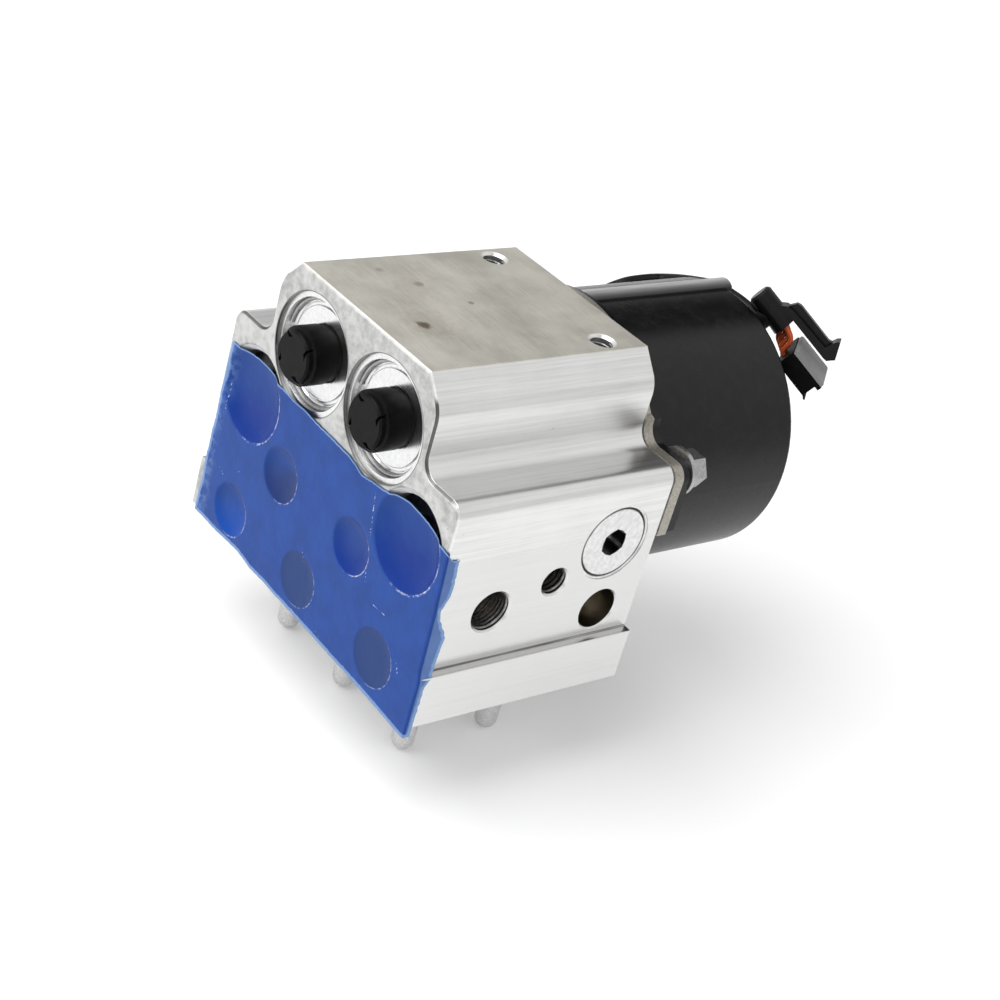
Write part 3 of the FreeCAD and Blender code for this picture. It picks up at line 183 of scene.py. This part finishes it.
def emboss(shader, height, distance, strength=1.0):
    sockets = {"Height": height, "Distance": distance, "Strength": strength}
    feed(shader, "Normal", height.make("ShaderNodeBump", sockets=sockets))


# finishes of the block and its fittings

blockLook = {
    "profile": ((0.64, 0.64, 0.635), (0.79, 0.79, 0.785)),
    "top": ((0.52, 0.497, 0.44), (0.80, 0.775, 0.705)),
    "front": ((0.37, 0.37, 0.365), (0.59, 0.59, 0.58)),
    "edge": (0.05, 0.05, 0.05),
    # the colour of the painted shade at the ledge, which the random smears share
    "ledgeShade": (0.16, 0.15, 0.135),
    "stain": (0.14, 0.085, 0.045),
    "inside": (0.32, 0.29, 0.24),
    "speck": (0.16, 0.16, 0.16),
    # where the top face, the front face and the drawn waves of the profile begin
    "topFace": (97.6, 97.95), "frontFace": (-39.95, -39.4), "waves": (49, 56), "height": 98,
    # painted shade in the corner on the ledge and under the ledge's lip: heights, and reach out from the
    # middle
    "corner": ((16.7, 17.3), (56.7, 57.4)), "lip": ((16.4, 16.85), (59.2, 59.5)),
    # the dark line round each cover's recess and the rough ring in each damper's: radii, and how deep they go
    "coverRim": ((17.9, 18.35), (-39, -38.6)), "damperRing": ((13.3, 15.7), (-34, -33)),
    # the painted dark reflection down the chamfers of the front's outer edges: depth, heights and squared
    # reach out from the middle
    "chamferReflection": ((-39.93, -39.25), (70, 92), (1100, 1200)),
    # deep, up and radius of the holes in each side face, which are darker inside
    "holes": [(-17.8, 33.3, 6.9), (3.7, 39.3, 4.8), (24.9, 25.7, 7.0)],
    "holeMouth": (56.2, 56.7),
    # along, deep, size and strength of each stain on the top face
    "stains": [(8.3, -25.1, 2.4, 0.85), (-14.1, -10.8, 1.8, 0.4), (-1.1, -1.5, 1.1, 0.5),
               (-24, -18, 1.4, 0.3), (7, -23, 9, 0.2), (-12, -14, 7, 0.14)],
}


def blockAluminium():
    material, shader, spot = newFinish("blockAluminium", roughness=0.3, metallic=1)
    x, y, z = spot.millimetres()
    apart = x * x
    place = spot.stretch()
    frontal = spot.stretch(1, 0, 1)
    lateral = spot.stretch(0, 1, 1)
    top = z.rise(*blockLook["topFace"])
    front = 1 - y.rise(*blockLook["frontFace"])
    waves = z.rise(*blockLook["waves"])
    drawn = spot.stretch(1, 0.012, 1)
    streaks = drawn.grain(0.9, 5, 0.7)
    fine = drawn.grain(6, 4, 0.75)
    cloud = place.grain(0.05, 4, 0.6)
    rolled = spot.stretch(0.02, 1, 1).grain(3.5, 4, 0.75)
    specks = place.grain(0.9, 4, 0.75).rise(0.645, 0.69)

    # the waves keep the die's streaks, the flat sides below them are milled smooth
    drawnHere = 0.25 + waves * 0.75
    profile = (streaks * 0.6 + fine * 0.25 + cloud * 0.15).rise(0.34, 0.6)
    profile = mixColor(0.35 + waves * 0.1 + (profile - 0.5) * drawnHere, *blockLook["profile"])
    # painted shade darkens the corner on the ledge and the side under the ledge's lip; the random smears take
    # the same dark colour
    heights, reach = blockLook["corner"]
    ledgeShade = z.band(*heights, 0.12) * apart.band(*squared(*reach), 8) * streaks.rise(0.4, 0.5)
    heights, reach = blockLook["lip"]
    ledgeShade = ledgeShade.sum("MAXIMUM", ledgeShade, z.band(*heights, 0.1) * apart.rise(*squared(*reach)) * 0.4)
    smears = spot.stretch(1, 0.5, 1).grain(0.35, 6, 0.8).rise(0.66, 0.76) * 0.25
    profile = mixColor((ledgeShade * 0.7 + smears).clamp(), profile, blockLook["ledgeShade"])

    topColor = mixColor((rolled * 0.45 + cloud * 0.55).rise(0.3, 0.66), *blockLook["top"])
    for along, deep, size, strength in blockLook["stains"]:
        spread = place.away(along, deep, blockLook["height"]) + place.grain(0.7, 3) * size
        mask = (1 - spread.rise(size * 0.9, size * 1.7)) * strength
        topColor = mixColor(mask, topColor, blockLook["stain"])

    smoke = place.grain(0.3, 5, 0.6)
    frontColor = mixColor((smoke * 0.6 + cloud * 0.4).rise(0.36, 0.6), *blockLook["front"])
    frontColor = mixColor(specks * 0.65, frontColor, blockLook["speck"])

    color = mixColor(top, mixColor(front, profile, frontColor), topColor)
    within = 1 - apart.rise(*squared(*blockLook["holeMouth"]))
    for deep, up, radius in blockLook["holes"]:
        bore = lateral.away(0, deep, up).rise(radius - 0.1, radius)
        color = mixColor((1 - bore) * within, color, blockLook["inside"])
    radii, depths = blockLook["coverRim"]
    for along, up in covers:
        rim = frontal.away(along, 0, up).band(*radii, 0.12) * (1 - y.rise(*depths))
        color = mixColor(rim * 0.7, color, blockLook["edge"])
    # painted reflection: a dark line down the chamfer on each outer edge of the front
    depths, heights, reach = blockLook["chamferReflection"]
    chamferReflection = y.band(*depths, 0.04) * z.band(*heights, 1) * apart.rise(*reach)
    feed(shader, "Base Color", mixColor(chamferReflection * 0.9, color, blockLook["edge"]))

    rough = 0.24 + streaks * drawnHere * 0.14 + top * 0.2 + front * 0.08
    radii, depths = blockLook["damperRing"]
    for along, up in dampers:
        rough = rough + frontal.away(along, 0, up).band(*radii, 0.1) * (1 - y.rise(*depths)) * 0.35
    feed(shader, "Roughness", rough)
    height = (streaks * 0.5 + fine * 0.35) * drawnHere * (1 - top) * (1 - front)
    height = height + rolled * top * 0.5 + specks * front * 0.6
    emboss(shader, height, 0.00006, 0.4)
    return material


# steel turned round one or more centres, with the tool's rings and painted shade in a few grooves
def turnedSteel(name, centres, color=(0.62, 0.66), axis="y", roughness=0.24, rings=2.2, shadedGrooves=()):
    material, shader, spot = newFinish(name, roughness, metallic=1)
    place = spot.stretch(1, 0, 1) if axis == "y" else spot.stretch(0, 1, 1)
    radius = None
    for along, up in centres:
        far = place.away(along, 0, up) if axis == "y" else place.away(0, along, up)
        radius = far if radius is None else radius.sum("MINIMUM", radius, far)
    wave = radius.sum("SINE", radius * rings * 2 * math.pi)
    marks = spot.stretch().grain(0.8, 4, 0.6)
    shade = mixColor(marks.rise(0.3, 0.7), gray(color[0]), gray(color[1]))
    # painted shade: each groove is darkened almost to black
    for low, high in shadedGrooves:
        shade = mixColor(radius.band(low, high, 0.1) * 0.9, shade, gray(0.04))
    feed(shader, "Base Color", shade)
    feed(shader, "Roughness", roughness + marks * 0.06 + wave * 0.03)
    emboss(shader, wave * 0.5 + marks * 0.2, 0.00002, 0.25)
    return material


def plainSteel(name, low, high, roughness=0.3, scale=1.2, bump=0.00002):
    material, shader, spot = newFinish(name, roughness, metallic=1)
    marks = spot.stretch().grain(scale, 4, 0.65)
    feed(shader, "Base Color", mixColor(marks.rise(0.3, 0.7), gray(low), gray(high)))
    feed(shader, "Roughness", roughness + marks * 0.15)
    emboss(shader, marks, bump, 0.5)
    return material


def moulded(name, color, roughness=0.5, scale=2.5, wear=0.25, specular=0.5):
    material, shader, spot = newFinish(name, roughness, specular=specular)
    grain = spot.stretch().grain(scale, 3, 0.6)
    worn = tuple(min(1, c * (1 + wear) + wear * 0.002) for c in color)
    feed(shader, "Base Color", mixColor(spot.stretch().grain(0.35, 4, 0.6).rise(0.3, 0.7), color, worn))
    feed(shader, "Roughness", roughness + (grain - 0.5) * 0.25)
    emboss(shader, grain, 0.00003, 0.5)
    return material


def canPaint():
    material, shader, spot = newFinish("canPaint", 0.25, specular=0.25)
    dust = spot.stretch().grain(0.25, 4, 0.6)
    peel = spot.stretch().grain(0.9, 2, 0.5)
    feed(shader, "Base Color", mixColor(dust.rise(0.35, 0.75), gray(0.003), gray(0.006)))
    feed(shader, "Roughness", 0.2 + dust * 0.12)
    emboss(shader, peel, 0.00004, 0.25)
    return material


# the sleeve is pale grey along its crown, and painted shade darkens it down the side that faces right
def sleeveGray():
    material, shader, spot = newFinish("sleeveGray", 0.35, specular=0.5)
    across, _, _ = spot.millimetres()
    along = spot.stretch(1, 0.05, 1).grain(0.8, 4, 0.65)
    # painted shade darkens the sleeve towards both its edges, most down the side that faces right
    sideShade = 1 - (across + (along - 0.5) * 1.2).rise(-9.2, -8) * (1 - across.rise(-6.2, -2.6))
    crownGray = mixColor(along.rise(0.3, 0.7), gray(0.26), gray(0.38))
    feed(shader, "Base Color", mixColor(sideShade, crownGray, gray(0.008)))
    feed(shader, "Roughness", 0.32 + along * 0.2)
    emboss(shader, along, 0.00003, 0.5)
    return material


print("finishes defined")

# along and up of the accumulator covers and the damper plugs on the front, and of the pump plug on each side

covers = [(18.2, 75.6), (-18.2, 75.6)]
dampers = [(40.5, 49.7), (-40.5, 49.7)]
pumps = [(23.0, 49.2)]


# paints the nodes whose names start with one of the words, over what they had before
def paint(finish, *starts):
    for name, node in nodes.items():
        if name.startswith(starts):
            for slot in node.material_slots:
                slot.material = finish


paint(plainSteel("innerSteel", 0.42, 0.58, 0.3), "")
paint(blockAluminium(), "valve_block")
paint(turnedSteel("coverSteel", covers, (0.66, 0.76), roughness=0.17, rings=1.4), "accumulator_cover")
paint(plainSteel("ringWire", 0.3, 0.45, 0.3), "retaining_ring")
paint(turnedSteel("plugSteel", pumps, (0.63, 0.77), axis="x", roughness=0.2, rings=0.7,
                  shadedGrooves=[(11.1, 11.7), (-1, 4.3)]), "pump_plug")
paint(turnedSteel("damperSteel", dampers, (0.45, 0.6), roughness=0.3), "damper_plug")
paint(plainSteel("domeSteel", 0.53, 0.77, 0.42, 2.2, 0.00004), "valve_dome")
paint(plainSteel("boltZinc", 0.32, 0.5, 0.25, 1.5), "motor_bolts", "motor_washers")
paint(plainSteel("plateSteel", (0.30, 0.287, 0.25), (0.475, 0.45, 0.40), 0.4, 1.4), "flange_plate")
paint(plainSteel("springSteel", 0.25, 0.36, 0.35), "accumulator_spring", "pump_spring")
paint(plainSteel("copper", (0.55, 0.24, 0.12), (0.72, 0.36, 0.2), 0.35), "armature_winding", "commutator")
paint(plainSteel("coreIron", 0.12, 0.2, 0.5, 3.0), "armature_core")
paint(plainSteel("bronze", (0.4, 0.26, 0.1), (0.55, 0.38, 0.18), 0.4), "rear_bush")
paint(moulded("ferrite", gray(0.05), 0.7), "magnets")
paint(moulded("carbon", gray(0.03), 0.6), "brush_")
paint(moulded("laminate", (0.16, 0.08, 0.035), 0.6), "brush_holder")
paint(plainSteel("springWire", 0.25, 0.36, 0.35), "brush_spring")
paint(canPaint(), "motor_can")
paint(moulded("capPlastic", gray(0.003), 0.36, 2.0, 0.5, 0.08), "vent_cap")
paint(moulded("bootRubber", gray(0.002), 0.32, 1.5, 0.6, 0.18), "lead_boot")
paint(moulded("housingPlastic", gray(0.001), 0.5, 2.0, 0.5, 0.05), "connector_housing")
paint(moulded("lockPlastic", gray(0.17), 0.55, 2.0, 0.15, 0.3), "connector_lock")
paint(sleeveGray(), "lead_sleeve")
print("nodes painted")


# a new object that carries the shell's mesh and one finish
def newPiece(name, shell, finish, smooth=True):
    mesh = bpy.data.meshes.new(name)
    shell.to_mesh(mesh)
    shell.free()
    for face in mesh.polygons:
        face.use_smooth = smooth
    mesh.materials.append(finish)
    piece = bpy.data.objects.new(name, mesh)
    bpy.context.collection.objects.link(piece)
    return piece


# a round lead on a smooth line that starts and ends at its route's ends and keeps close to the points between
def lead(name, points, radius, finish):
    line = bpy.data.curves.new(name, "CURVE")
    line.dimensions = "3D"
    line.bevel_depth = radius
    line.bevel_resolution = 6
    line.resolution_u = 16
    line.use_fill_caps = True
    spline = line.splines.new("NURBS")
    spline.points.add(len(points) - 1)
    for point, place in zip(spline.points, points):
        point.co = (*place, 1)
    spline.order_u = 3
    spline.use_endpoint_u = True
    piece = bpy.data.objects.new(name, line)
    bpy.context.collection.objects.link(piece)
    line.materials.append(finish)
    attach(piece, "unit")
    return piece


# the frame of the connector: one corner of it, its directions and the middle of its wires
connector = {
    "corner": Vector((26.8, 113, 86.9)),
    "along": Vector((0.6995, 0.4601, -0.5469)),
    "deep": Vector((-0.6021, 0.7916, -0.1042)),
    "up": Vector((0.385, 0.4022, 0.8307)),
    "middle": 9.3,
}


def atConnector(x, y, z):
    return (connector["corner"] + connector["along"] * x + connector["deep"] * y + connector["up"] * z) * mm


# the motor's lead: from the plate's side along and round the can into its boot
motorLead = {
    "axis": 50.2,
    # angle round the motor, distance from its axis, depth
    "route": [(151, 45.8, 46.36), (151, 45.8, 59.92), (154.5, 45.8, 75.97), (149.1, 45.8, 87.31),
              (138.8, 45.8, 93.2), (137, 45.8, 102.19), (137.6, 45.66, 109.57), (124.7, 42.82, 110.64),
              (98, 42.37, 110.42)],
    "end": (-13.96, 9.3, -5.19),
    "radius": 1.9,
    "length": 111.6,
}

leadRubber = moulded("leadRubber", gray(0.003), 0.4, 1.2, 0.5, 0.18)
route = []
for angle, reach, along in motorLead["route"]:
    turn = math.radians(angle)
    route.append(Vector((reach * math.cos(turn), along, motorLead["axis"] + reach * math.sin(turn))) * mm)
route.append(atConnector(*motorLead["end"]))
signalLead = lead("signalLead", route, motorLead["radius"] * mm, leadRubber)
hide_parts("signal_lead")

# the wires rise from the housing and turn into the boot, each a little further out than the last
wires = {"count": 4, "pitch": 1.65, "stagger": 0.88, "radius": 0.8, "start": 1.5, "lean": 0.6,
         "foot": -6.1, "high": 0.3, "inside": -8.2}

wireOrange = moulded("wireOrange", (0.36, 0.055, 0.01), 0.36, 1.5, 0.3, 0.35)
for number in range(wires["count"]):
    across = connector["middle"] + (number - (wires["count"] - 1) / 2) * wires["pitch"]
    out = -wires["start"] - number * wires["pitch"] * wires["stagger"]
    bends = [(0, wires["foot"]), (out, wires["foot"]), (out - wires["lean"], wires["high"]),
             (wires["inside"], wires["high"])]
    points = [atConnector(along, across, up) for along, up in bends]
    lead("wire%d" % (number + 1), points, wires["radius"] * mm, wireOrange)
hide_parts("connector_wires")
print("leads laid")

# springs are copies of their nodes

springs = {
    # each spring's joint, the axis along which it shortens, its fixed end and how far the joint moves
    "accumulator_spring": ("accumulator_piston_%s_slide", 1, -33.8, 9),
    "pump_spring": ("pump_piston_%s_slide", 0, 45.2, 1.5),
    "brush_spring": ("brush_%s_slide", 0, 33.9, 3),
}


def coil(name):
    shell = bmesh.new()
    shell.from_mesh(nodes[name].data)
    bmesh.ops.remove_doubles(shell, verts=shell.verts, dist=0.000001)
    piece = newPiece(name + "_coil", shell, nodes[name].material_slots[0].material)
    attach(piece, "unit")
    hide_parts(name)
    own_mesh(piece)


# the ends of the springs that lie across the block are mirrored on the left
for name, (joint, axis, end, travel) in springs.items():
    coil(name + "_right")
    coil(name + "_left")
print("springs coiled:", 2 * len(springs))

# the film is a fine grid laid over the front, pressed into the bores and folded round the right edge

film = {
    "grid": (260, 130), "height": 60, "thickness": 0.12, "front": -40.25,
    # the left edge at the foot and at the top, the fold's length, and how far past the block's side it stands
    "left": (-56.7, -55.3), "fold": 0.9, "proud": 0.1,
    # how far below the face its right edge and its turned part start, and its width for the tears
    "droop": 2, "wrapDroop": 3, "width": 120,
    # past the fold the upper edge comes down with this slope, for this length
    "taper": (0.9, 2.5),
    # the width of the pale hem, and how many times narrower it is at the top
    "hem": 2, "upperHem": 2.5,
    # up the front, where the film turns round the right edge: over the ledge, then in along the face
    "right": [(-3, 59.72), (17, 59.72), (20.5, 59), (39, 58.4), (57, 57.25)],
    # along the front, the heights of the film's upper and lower edges
    "upper": [(-57, 60), (-43, 60.3), (0, 58.8), (9, 58.4), (16, 56.9), (25, 57.6), (31, 59.4), (35, 59.5),
              (57, 56.7)],
    "lower": [(-57, -0.3), (-43, -0.3), (-31, 0.3), (-24, -0.7), (0, -1.1), (20, -1.5), (42, -2.2),
              (57, -3.1)],
    # up the right face, how far the film reaches round the edge
    "wrap": [(-3, 2.1), (9, 2.4), (15, 2.6), (17.5, 4.6), (27, 5.4), (31, 5.7), (36.5, 3.3), (40.6, 2.3),
             (45, 4), (50, 4.7), (56, 4.9)],
    # how ragged each edge is: its seed and size
    "ragged": {"left": (2, 0.5), "wrap": (7, 0.7), "lower": (4, 0.25), "upper": (9, 0.4)},
    # scale along and up, seed and height of the wrinkles
    "wrinkles": [(0.06, 0.06, 1, 0.12), (0.25, 0.2, 5, 0.05)],
    # along, up, radius, depth of each bore that the film is pressed into, and the blue that painted shade
    # gives its lower side
    "dimples": [(18.9, 34.6, 8.6, 1.5, "deep"), (-18.9, 35, 8.6, 1.5, "brown"),
                (-38.9, 10.4, 8.6, 1.5, "bright"), (-0.4, 10.4, 8.7, 0.3, "shade"),
                (39.3, 10.2, 9.0, 0.3, "shade"), (40.5, 49.7, 14.6, 2.6, "deep"),
                (-40.5, 49.7, 14.6, 2.6, "deep")],
    # white scuffs, each a line of points on the front
    "scratches": [[(23.4, 55.3), (24.8, 48), (26.5, 39.4), (27.6, 33), (28.8, 28.2)],
                  [(34.4, 24.9), (41.5, 25.2)], [(46.5, 16.9), (49.6, 15.3), (51.4, 12.2)],
                  [(-39.1, 25.3), (-38.4, 23.5)], [(-1.2, 20.6), (0.4, 16.5)],
                  [(-17.3, 10.8), (-16.1, 9.3)], [(13, 0.8), (15.7, 0.2)],
                  [(-53, 47), (-51.6, 38)], [(-49, 20), (-46, 18.6)]],
    "blue": (0.011, 0.050, 0.235), "deep": (0.001, 0.027, 0.215), "shade": (0.014, 0.043, 0.165),
    "bright": (0.001, 0.055, 0.33), "brown": (0.010, 0.030, 0.14),
    "pale": (0.22, 0.36, 0.62), "scuffAndGlint": (0.75, 0.78, 0.84),
}


# the height of a line of points at a place along it
def follow(points, at):
    for (near, low), (far, high) in zip(points, points[1:]):
        if at <= far:
            return low + (high - low) * max(0, (at - near) / (far - near))
    return points[-1][1]


# long waves and short tears along one edge of the film
def ragged(side, at):
    seed, size = film["ragged"][side]
    waves = noise.noise(Vector((at * 0.13, seed, 0)))
    tears = noise.noise(Vector((at * 0.7, seed, 3)))
    return waves * size + tears * size * 0.5


# how deep the film is pressed at a place
def pressedIn(x, z):
    depth = 0
    for along, up, radius, sink, blue in film["dimples"]:
        far = math.hypot(x - along, z - up) / radius
        if far < 1:
            depth = max(depth, sink * (1 - far ** 5))
    return depth


# how near a place is to a scratch, from 0 to 1
def scratched(x, z):
    near = 0
    for line in film["scratches"]:
        for start, end in zip(line, line[1:]):
            reach = Vector(end) - Vector(start)
            past = Vector((x, z)) - Vector(start)
            share = min(1, max(0, past.dot(reach) / reach.length_squared))
            near = max(near, 1 - (past - reach * share).length)
    return near


# the grid runs from the left edge to the end of the part that is turned round the right edge
# each vertex carries how near it is to a scratch and to the film's edge, and how far it lies past the fold
def layFilm(finish):
    shell = bmesh.new()
    columns, rows = film["grid"]
    foot, head = film["left"]
    slope, reach = film["taper"]
    bmesh.ops.create_grid(shell, x_segments=columns, y_segments=rows, size=0.5)
    scratch = shell.verts.layers.float.new("scratch")
    hem = shell.verts.layers.float.new("hem")
    turned = shell.verts.layers.float.new("turned")
    for vert in shell.verts:
        u, v = vert.co.x + 0.5, vert.co.y + 0.5
        rough = v * film["height"]
        left = foot + (head - foot) * v + ragged("left", rough)
        right = follow(film["right"], rough - film["droop"])
        wrapNow = follow(film["wrap"], rough - film["wrapDroop"]) + ragged("wrap", rough)
        along = u * (right - left + wrapNow)
        past = max(0, along - (right - left))
        x = left + along - past
        low = follow(film["lower"], x) + ragged("lower", u * film["width"])
        high = follow(film["upper"], x) + ragged("upper", u * film["width"]) - min(past, reach) * slope
        z = low + v * (high - low)
        bend = min(past / film["fold"], 1) * math.pi / 2
        edge = min(rough, (film["height"] - rough) * film["upperHem"], along, right - left + wrapNow - along)
        wrinkle = sum(noise.noise(Vector((x * wide, z * tall, seed))) * size
                      for wide, tall, seed, size in film["wrinkles"])
        depth = pressedIn(x, z) - abs(wrinkle) if past == 0 else 0
        vert[scratch] = scratched(x, z)
        vert[hem] = max(0, 1 - edge / film["hem"])
        vert[turned] = past
        vert.co = Vector((x + film["proud"] * math.sin(bend), film["front"] + past + depth, z)) * mm
    bmesh.ops.recalc_face_normals(shell, faces=shell.faces)
    piece = newPiece("portFilm", shell, finish)
    solid = piece.modifiers.new("thickness", "SOLIDIFY")
    solid.thickness = film["thickness"] * mm
    solid.offset = 1
    return piece


def filmFinish():
    material, shader, spot = newFinish("blueFilm", 0.42, specular=0.18)
    place = spot.stretch()
    x, _, z = spot.millimetres()
    scratch, hem, turned = [place.make("ShaderNodeAttribute", {"attribute_name": name}, output=2)
                            for name in ("scratch", "hem", "turned")]
    mottle = place.grain(0.12, 4, 0.6)
    crisp = place.grain(1.6, 3, 0.7)
    color = mixColor(mottle.rise(0.3, 0.7), film["blue"], tuple(c * 1.25 for c in film["blue"]))
    worn = (scratch * 0.7 + crisp * 0.5).rise(0.86, 0.92)
    # in each dimple, painted shade carries the blue from the upper colour to the dimple's own colour towards
    # its lower side
    for along, up, radius, sink, blue in film["dimples"]:
        far = spot.stretch(1, 0, 1).away(along, 0, up) / radius
        lower = ((x - along) * 0.3 - (z - up)) / radius
        upperBlue = film["blue"] if sink > 1 else film["shade"]
        shaded = (lower + place.grain(0.09, 3, 0.6) * 1.6 - 0.3).rise(-0.2, 1.2)
        inside = mixColor(shaded, upperBlue, film[blue])
        color = mixColor(1 - far.rise(0.965, 1.0), color, inside)
        # painted highlight: a pale broken line along the rim of each dimple on its lower right, drawn in the
        # scratches' white
        lit = ((x - along) - (z - up) * 0.4).rise(0, radius)
        rim = far.band(0.985, 1.02, 0.01) * lit * min(1, 0.5 + sink / 3)
        worn = worn.sum("MAXIMUM", worn, rim * place.grain(0.6, 5, 0.8).rise(0.46, 0.56) * 0.7)
    stretched = (1 - (x + mottle * 5).rise(-54.5, -47)) * place.grain(0.3, 5, 0.7).rise(0.4, 0.62)
    color = mixColor(stretched * 0.45, color, film["pale"])
    color = mixColor(turned.rise(0.2, 0.8) * (0.22 + mottle * 0.3), color, film["pale"])
    # painted shade: a dark line along the fold round the right edge
    color = mixColor(turned.band(0.15, 0.7, 0.12) * 0.6, color, film["deep"])
    color = mixColor((hem + (crisp - 0.5) * 0.35).rise(0.3, 0.62) * 0.75, color, film["pale"])
    # the real scratches and the painted rim highlights, in one white
    color = mixColor(worn * 0.85, color, film["scuffAndGlint"])
    feed(shader, "Base Color", color)
    feed(shader, "Roughness", 0.34 + mottle * 0.16)
    emboss(shader, place.grain(0.35, 4, 0.6), 0.0003, 0.3)
    return material


portFilm = layFilm(filmFinish())
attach(portFilm, "unit")
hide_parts("port_film")
print("film laid:", len(portFilm.data.polygons), "faces")

# threads: one tooth's outline, turned and carried along the axis as a real thread is cut

threads = {
    "top": {"mouth": (26, 26.3, 98), "axis": (0, 0, -1), "radius": 3.9, "core": 3.1, "pitch": 1.25,
            "turns": 10, "start": 0.9},
    "side": {"mouth": (57, 3.7, 39.3), "axis": (-1, 0, 0), "radius": 4.5, "core": 3.95, "pitch": 1.5,
             "turns": 8, "start": 0.6},
    "port": {"mouth": (57, -17.8, 33.3), "axis": (-1, 0, 0), "radius": 6.6, "core": 6.0, "pitch": 1.25,
             "turns": 8, "start": 0.6},
}
# the shares of a pitch between which the tooth's crest runs, and the steps of one turn
threadCrest = (0.42, 0.58)
threadSteps = 28


# side is 1 for the right half of the block and -1 for the left
def cutThread(name, look, side, finish):
    shell = bmesh.new()
    root, core, pitch = look["radius"], look["core"], look["pitch"]
    crestStart, crestEnd = threadCrest
    outline = [(root, 0), (core, pitch * crestStart), (core, pitch * crestEnd), (root, pitch)]
    verts = [bmesh.ops.create_vert(shell, co=(r, 0, z + look["start"]))["vert"][0] for r, z in outline]
    edges = [shell.edges.new(pair) for pair in zip(verts, verts[1:])]
    bmesh.ops.spin(shell, geom=verts + edges, cent=(0, 0, 0), axis=(0, 0, 1),
                   dvec=(0, 0, pitch / threadSteps), angle=2 * math.pi * look["turns"],
                   steps=threadSteps * look["turns"])
    bmesh.ops.remove_doubles(shell, verts=shell.verts, dist=0.001)
    mouth, axis = Vector(look["mouth"]), Vector(look["axis"])
    mouth.x *= side
    axis.x *= side
    turn = Vector((0, 0, 1)).rotation_difference(axis).to_matrix().to_4x4()
    matrix = Matrix.Scale(mm, 4) @ Matrix.Translation(mouth) @ turn
    bmesh.ops.transform(shell, verts=shell.verts, matrix=matrix)
    bmesh.ops.recalc_face_normals(shell, faces=shell.faces)
    piece = newPiece(name, shell, finish)
    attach(piece, "unit")


threadMetal = plainSteel("threadAluminium", 0.14, 0.36, 0.28)
for name, look in threads.items():
    cutThread(name + "ThreadRight", look, 1, threadMetal)
    cutThread(name + "ThreadLeft", look, -1, threadMetal)
print("threads cut:", 2 * len(threads))

# a pale floor under the valve domes, one large soft lamp and two faint ones, and a pale sky, dark overhead

studio = {
    "floor": -0.0347, "floorSize": 6.0, "floorColor": (0.9, 0.9, 0.9),
    # the paper's glow, which the metal mirrors too, and what the camera alone sees it gain far from the unit
    "floorGlow": 0.08, "farGlow": 0.3, "far": (0.25, 0.7),
    # the sky's strength at the horizon, above it and overhead, and over which heights it changes
    "horizon": 0.78, "lift": (0.15, 0.5), "sky": 0.92, "fade": (0.84, 0.95), "zenith": 0.25,
    # a black card behind the left shoulder, which the can's top mirrors: its direction, size and darkness
    "card": ((-0.46, 0.68, 0.57), (0.24, 0.36), 0.97),
    # each lamp's place, what it looks at, its size and its watts
    "lamps": [("above", (-0.15, -0.65, 1.2), (0, 0, 0), 1.2, 15),
              ("rightFront", (1.3, -0.5, 0.8), (0, 0, 0.04), 0.9, 0.6),
              ("leftFront", (-0.7, -1.3, 0.8), (0, 0, 0.04), 1.0, 0.6)],
}


# 1 for the rays that carry the paper or the sky to the eye: straight ones, and others as named
def eyeRay(tree, *kinds):
    rays = Value(tree).make("ShaderNodeLightPath").socket.node
    seen = Value(tree, rays.outputs["Is Camera Ray"])
    for kind in kinds:
        seen = seen.sum("MAXIMUM", seen, Value(tree, rays.outputs[f"Is {kind} Ray"]))
    return seen


def newFloor():
    shell = bmesh.new()
    bmesh.ops.create_grid(shell, x_segments=1, y_segments=1, size=studio["floorSize"])
    bmesh.ops.translate(shell, verts=shell.verts, vec=(0, 0, studio["floor"]))
    material, shader, spot = newFinish("floorPaper", 1, specular=0)
    feed(shader, "Base Color", studio["floorColor"])
    far = spot.away(0, 0, studio["floor"]).rise(*studio["far"])
    glow = eyeRay(material.node_tree, "Glossy", "Transmission") * studio["floorGlow"]
    glow = glow + eyeRay(material.node_tree) * far * studio["farGlow"]
    feed(shader, "Emission Color", mixColor(glow, gray(0), gray(1)))
    feed(shader, "Emission Strength", 1)
    floor = newPiece("floor", shell, material, smooth=False)


def newLamps():
    for name, place, target, size, power in studio["lamps"]:
        lamp = bpy.data.lights.new(name, "AREA")
        lamp.size = size
        lamp.energy = power
        holder = bpy.data.objects.new(name, lamp)
        bpy.context.collection.objects.link(holder)
        holder.location = place
        holder.rotation_euler = (Vector(target) - Vector(place)).to_track_quat("-Z", "Y").to_euler()


def newSky():
    world = bpy.data.worlds.new("sky")
    bpy.context.scene.world = world
    world.use_nodes = True
    tree = world.node_tree
    background = tree.nodes["Background"]
    toward = Value(tree).make("ShaderNodeTexCoord")
    _, _, up = toward.parts()
    glow = studio["horizon"] + up.rise(*studio["lift"]) * (studio["sky"] - studio["horizon"])
    glow = glow + up.rise(*studio["fade"]) * (studio["zenith"] - studio["sky"])
    place, reach, darkness = studio["card"]
    glow = glow * (1 - (1 - toward.away(*place).rise(*reach)) * darkness)
    strength = glow.sum("MAXIMUM", glow, eyeRay(tree, "Transmission"))
    tree.links.new(strength.socket, background.inputs["Strength"])
    background.inputs["Color"].default_value = (1, 1, 1, 1)


newFloor()
newLamps()
newSky()
bpy.context.scene.view_settings.view_transform = "Standard"
print("studio built")
